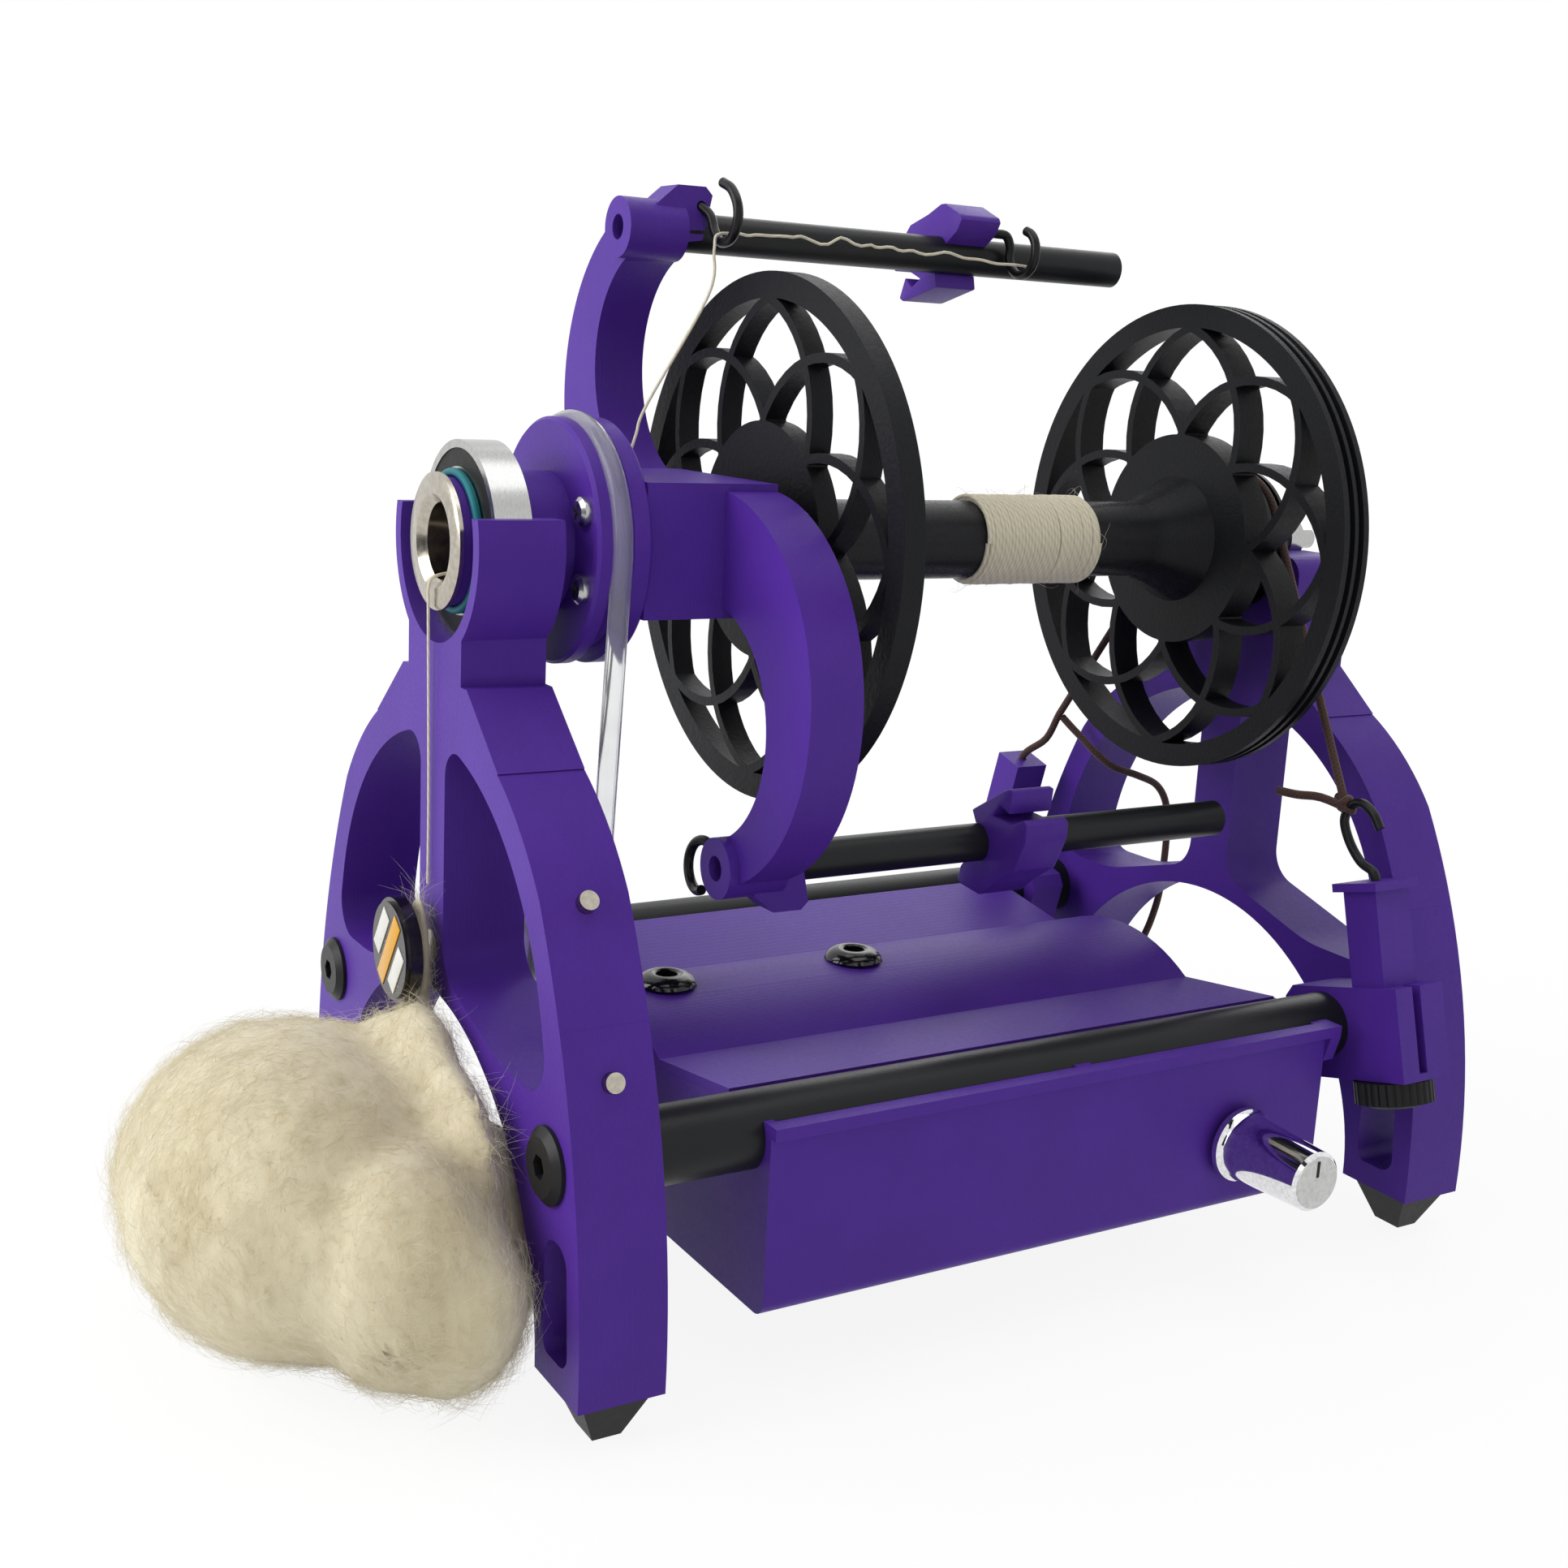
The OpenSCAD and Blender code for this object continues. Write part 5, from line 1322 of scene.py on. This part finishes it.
@dataclass
class Fibre:
    """The bundle of combed wool, drawn up behind the button and through the arch."""

    finishes: Finishes
    lobes: tuple[Lobe, ...] = (
        Lobe((10, -42, -149.5), (55, 40, 37.5)),
        Lobe((50, -30, -153), (31, 25, 29)),
        Lobe((58, -24, -158), (26, 18, 24)),
        Lobe((38, -14, -139), (26, 8.2, 25)),
        Lobe((18, -14, -122), (17, 8, 17)),
        Lobe((30, -6, -158), (27, 18, 26)),
        Lobe((8, -17.5, -132), (19, 10.5, 21)),
        Lobe((0, -8.75, -106), (8.5, 3.0, 23)),
    )
    strand_d: float = 0.76
    voxel: float = 1.8
    soften: float = 0.6
    soften_rounds: int = 16
    lump: float = 1.9
    small_lump: float = 0.7
    streak: float = 0.2
    sink: float = 0.9
    floor_gap: float = 0.4
    haze_parts: int = 6
    haze_hairs: int = 2500
    hair_d: float = 0.075
    hair_len: tuple[float, float] = (5, 13)
    close_lift: tuple[float, float] = (0.3, 1.3)
    loose_lift: tuple[float, float] = (1.4, 3.2)
    close_share: float = 0.8
    hair_steps: int = 7
    seed: int = 7

    def build(self) -> None:
        """Builds the bundle's mass, its haze of hairs and the feeding strand."""
        body = self.mass()
        self.haze(body)
        feed = ((0, -6.4, -82.25), (0, -6.4, -60), (0, -6.8, -30), (0, -7, -16), (0, -7, -10.5),
                (0, -5.5, -8.2), (0, 0, -6.9), (0, 8, -4), (0, 18, -1))
        mesh = tube_mesh("feed_strand", smooth_path(PLACES.path(feed), 8), self.strand_d / 2 * MM, 8)
        add_piece("feed_strand", mesh, self.finishes.yarn, "base", ["feed_yarn"])

    def mass(self) -> bpy.types.Object:
        """Joins the lobes into one soft lumpy mass.

        Returns:
            The mass.
        """
        bm = bmesh.new()
        for lobe in self.lobes:
            shape = Matrix.Translation(PLACES.at(*lobe.middle)) @ Matrix.Diagonal(
                (*(h * MM for h in lobe.half), 1))
            bmesh.ops.create_icosphere(bm, subdivisions=5, radius=1, matrix=shape)
        mesh = bpy.data.meshes.new("wool_mass")
        bm.to_mesh(mesh)
        bm.free()
        piece = add_piece("wool_mass", mesh, self.finishes.wool, "base",
                          ["fibre_bundle"])
        remesh = piece.modifiers.new("join", "REMESH")
        remesh.mode = "VOXEL"
        remesh.voxel_size = self.voxel * MM
        smooth = piece.modifiers.new("soften", "SMOOTH")
        smooth.factor, smooth.iterations = self.soften, self.soften_rounds
        depsgraph = bpy.context.evaluated_depsgraph_get()
        soft = bpy.data.meshes.new_from_object(piece.evaluated_get(depsgraph))
        piece.modifiers.clear()
        piece.data = soft
        for v in soft.vertices:
            p = v.co / MM
            lump = self.lump * noise.noise(p / 24)
            lump += self.small_lump * noise.noise(p / 9 + Vector((5, 1, 2)))
            streak = self.streak * noise.noise(Vector((p.x / 2.2, p.y / 2.2, p.z / 9)))
            v.co += v.normal * (lump + streak - self.sink) * MM
            v.co.z = max(v.co.z, self.floor_gap * MM)
        soft.shade_smooth()
        soft.materials.clear()
        soft.materials.append(self.finishes.wool)
        return piece

    def haze(self, body: bpy.types.Object) -> None:
        """Covers the mass with fine hairs that follow its combing.

        Args:
            body: The mass.
        """
        rng = random.Random(self.seed)
        mesh = body.data
        faces = mesh.polygons
        top = PLACES.at(0, -9, -100)
        for part in range(self.haze_parts):
            hairs = []
            while len(hairs) < self.haze_hairs:
                face = faces[rng.randrange(len(faces))]
                hair = self.hair(face.center.copy(), face.normal.copy(), top, rng)
                if hair:
                    hairs.append(hair)
            name = f"wool_haze_{part + 1}"
            tufts = hairs_mesh(name, hairs, self.hair_d * MM)
            add_piece(name, tufts, self.finishes.wool, "base")

    def hair(
        self, root: Vector, normal: Vector, top: Vector, rng: random.Random
    ) -> list[Vector] | None:
        """Grows one hair over the surface.

        Args:
            root: Where it leaves the surface.
            normal: The surface's direction there.
            top: The place that the wool is drawn up to.
            rng: The seeded source of its chances.

        Returns:
            The hair's points, or None where it would leave the bundle's room.
        """
        towards = (top - root).normalized()
        swirl = Vector((rng.gauss(0, 1), rng.gauss(0, 1), rng.gauss(0, 1)))
        along = towards * 0.5 + swirl * 0.5
        along = (along - normal * along.dot(normal)).normalized()
        if rng.random() < 0.5:
            along = -along
        length = rng.uniform(*self.hair_len) * MM
        close = rng.random() < self.close_share
        lift = rng.uniform(*(self.close_lift if close else self.loose_lift))
        hair = []
        bend = normal.cross(along) * rng.uniform(-0.5, 0.5)
        for i in range(self.hair_steps + 1):
            t = i / self.hair_steps
            point = root + along * length * t + bend * length * t * t
            point += normal * (lift * math.sin(math.pi * min(t, 0.6)) - 5.0 * t * t * length * 8) * MM
            if point.z < 0.3 * MM or point.x < CAD_BOX[0][0] or point.y < CAD_BOX[0][1] - 4 * MM:
                return None
            hair.append(point)
        if abs(root.y - PLACES.origin.y) < 20 * MM and root.z > 0.05 and root.y > PLACES.at(0, -7, 0).y:
            return None
        return hair


# ---- Studio ----


@dataclass(frozen=True)
class Lamp:
    """A soft square lamp that faces the object."""

    name: str
    place: Point
    size: float
    power: float


@dataclass
class Studio:
    """The camera, the lamps, the pale floor and the white surroundings."""

    focal_px: float = 2360.947
    frame_px: int = 1932
    sensor: float = 36.0
    azimuth: float = 58.7504
    pitch: float = 12.4562
    roll: float = 2.974
    camera_place: Point = (424.12, -164.93, 45.04)
    lamps: tuple[Lamp, ...] = (
        Lamp("front_lamp", (-0.35, -1.25, 0.75), 1.1, 16.0),
        Lamp("side_lamp", (1.35, -0.15, 0.65), 0.9, 2.4),
        Lamp("top_lamp", (0.1, 0.1, 1.5), 1.2, 6.0),
        Lamp("back_lamp", (-0.9, 1.0, 0.9), 0.9, 3.0),
    )
    cards: tuple[tuple[str, Point, float, float], ...] = (
        ("right_card", (1.1, -0.1, 0.35), 0.28, 1.2),
        ("front_card", (0.35, -1.2, 0.2), 0.3, 1.2),
        ("high_card", (0.7, -0.3, 1.1), 1.0, 0.25),
    )
    aim: Point = (0.0, 0.0, 0.13)
    world_light: float = 0.3
    shadow: float = 0.14
    floor_half: float = 6.0
    floor_grey: float = 0.86

    def build(self) -> None:
        """Sets up the camera, the light and the floor."""
        scene = bpy.context.scene
        scene.view_settings.view_transform = "Standard"
        self.build_camera()
        for lamp in self.lamps:
            self.build_lamp(lamp)
        for name, place, width, height in self.cards:
            self.build_card(name, place, width, height)
        self.build_world()
        self.build_floor()

    def build_card(self, name: str, place: Point, width: float, height: float) -> None:
        """Stands up a dark card that shows in the metal only.

        Args:
            name: The card's name.
            place: Its middle in metres.
            width: Its width in metres.
            height: Its height in metres.
        """
        bm = bmesh.new()
        bmesh.ops.create_grid(bm, x_segments=1, y_segments=1, size=0.5)
        middle = Vector(place)
        face = (Vector(self.aim) - middle).to_track_quat("Z", "Y").to_matrix().to_4x4()
        shape = Matrix.Translation(middle) @ face @ Matrix.Diagonal((width, height, 1, 1))
        bmesh.ops.transform(bm, matrix=shape, verts=bm.verts[:])
        mesh = bpy.data.meshes.new(name)
        bm.to_mesh(mesh)
        bm.free()
        paint = Painter(name)
        paint.set(Base_Color=(0.02, 0.02, 0.02, 1), Roughness=1.0, Specular_IOR_Level=0.0)
        mesh.materials.append(paint.material)
        card = bpy.data.objects.new(name, mesh)
        card.visible_camera = card.visible_diffuse = card.visible_shadow = False
        card.visible_transmission = False
        bpy.context.scene.collection.objects.link(card)

    def build_camera(self) -> None:
        """Puts the camera where the photograph was taken from."""
        az, el, ro = (math.radians(a) for a in (self.azimuth, self.pitch, self.roll))
        look = Vector((-math.sin(az) * math.cos(el), math.cos(az) * math.cos(el), -math.sin(el)))
        level = look.cross(Vector((0, 0, 1))).normalized()
        rise = level.cross(look)
        right = level * math.cos(ro) + rise * math.sin(ro)
        up = rise * math.cos(ro) - level * math.sin(ro)
        data = bpy.data.cameras.new("camera")
        data.sensor_width = self.sensor
        data.lens = self.focal_px / self.frame_px * self.sensor
        data.clip_start = 0.01
        camera = bpy.data.objects.new("camera", data)
        turn = Matrix((right, up, -look)).transposed().to_4x4()
        camera.matrix_world = Matrix.Translation(PLACES.at(*self.camera_place)) @ turn
        bpy.context.scene.collection.objects.link(camera)
        bpy.context.scene.camera = camera

    def build_lamp(self, lamp: Lamp) -> None:
        """Hangs one lamp and turns it to the object.

        Args:
            lamp: The lamp's place, size and power.
        """
        data = bpy.data.lights.new(lamp.name, "AREA")
        data.size, data.energy = lamp.size, lamp.power
        holder = bpy.data.objects.new(lamp.name, data)
        place = Vector(lamp.place)
        turn = (Vector(self.aim) - place).to_track_quat("-Z", "Y").to_matrix().to_4x4()
        holder.matrix_world = Matrix.Translation(place) @ turn
        bpy.context.scene.collection.objects.link(holder)

    def seen(self, paint: Painter) -> bpy.types.NodeSocket:
        """Gives 1 for the rays of the camera, of reflections and of clear pieces.

        Args:
            paint: The material that asks for it.

        Returns:
            The socket that holds it.
        """
        rays = paint.add("ShaderNodeLightPath").outputs
        seen = paint.math("MAXIMUM", rays["Is Camera Ray"], rays["Is Glossy Ray"])
        return paint.math("MAXIMUM", seen, rays["Is Transmission Ray"])

    def build_world(self) -> None:
        """Surrounds the object with white that lights it only gently."""
        world = bpy.data.worlds.new("white_room")
        world.use_nodes = True
        bpy.context.scene.world = world
        tree = world.node_tree
        glow = tree.nodes["Background"]
        glow.inputs["Color"].default_value = (1, 1, 1, 1)
        rays = tree.nodes.new("ShaderNodeLightPath").outputs
        seen = rays["Is Camera Ray"]
        for name in ("Is Glossy Ray", "Is Transmission Ray"):
            most = tree.nodes.new("ShaderNodeMath")
            most.operation = "MAXIMUM"
            tree.links.new(seen, most.inputs[0])
            tree.links.new(rays[name], most.inputs[1])
            seen = most.outputs[0]
        level = tree.nodes.new("ShaderNodeMapRange")
        level.inputs["To Min"].default_value = self.world_light
        level.inputs["To Max"].default_value = 1.0
        tree.links.new(seen, level.inputs["Value"])
        tree.links.new(level.outputs["Result"], glow.inputs["Strength"])

    def build_floor(self) -> None:
        """Lays the pale floor, which keeps a faint shadow."""
        bm = bmesh.new()
        bmesh.ops.create_grid(bm, x_segments=1, y_segments=1, size=self.floor_half)
        mesh = bpy.data.meshes.new("floor")
        bm.to_mesh(mesh)
        bm.free()
        paint = Painter("floor_pale")
        grey = (self.floor_grey, self.floor_grey, self.floor_grey, 1)
        paint.set(Base_Color=grey, Roughness=0.9, Specular_IOR_Level=0.1)
        glow = paint.add("ShaderNodeEmission", Strength=1.03)
        mix = paint.add("ShaderNodeMixShader")
        far = paint.add("ShaderNodeTexGradient", gradient_type="SPHERICAL")
        paint.link(paint.place((0.9, 0.9, 0.9)), far.inputs[0])
        keep = paint.math("MULTIPLY", far.outputs["Fac"], self.shadow)
        paint.link(paint.math("SUBTRACT", self.seen(paint), keep), mix.inputs[0])
        paint.link(paint.shader.outputs[0], mix.inputs[1])
        paint.link(glow.outputs[0], mix.inputs[2])
        paint.link(mix.outputs[0], paint.output.inputs["Surface"])
        mesh.materials.append(paint.material)
        floor = bpy.data.objects.new("floor", mesh)
        bpy.context.scene.collection.objects.link(floor)


def main() -> None:
    """Builds the studio and every sub-assembly."""
    logging.basicConfig(level=logging.INFO, format="%(name)s: %(message)s")
    Studio().build()
    finishes = Finishes()
    for part in (Stands, Housing, Flyer, Bobbin, Drive, Brake, Fibre):
        part(finishes).build()
        LOG.info("built %s", part.__name__)


if __name__ == "__main__":
    main()
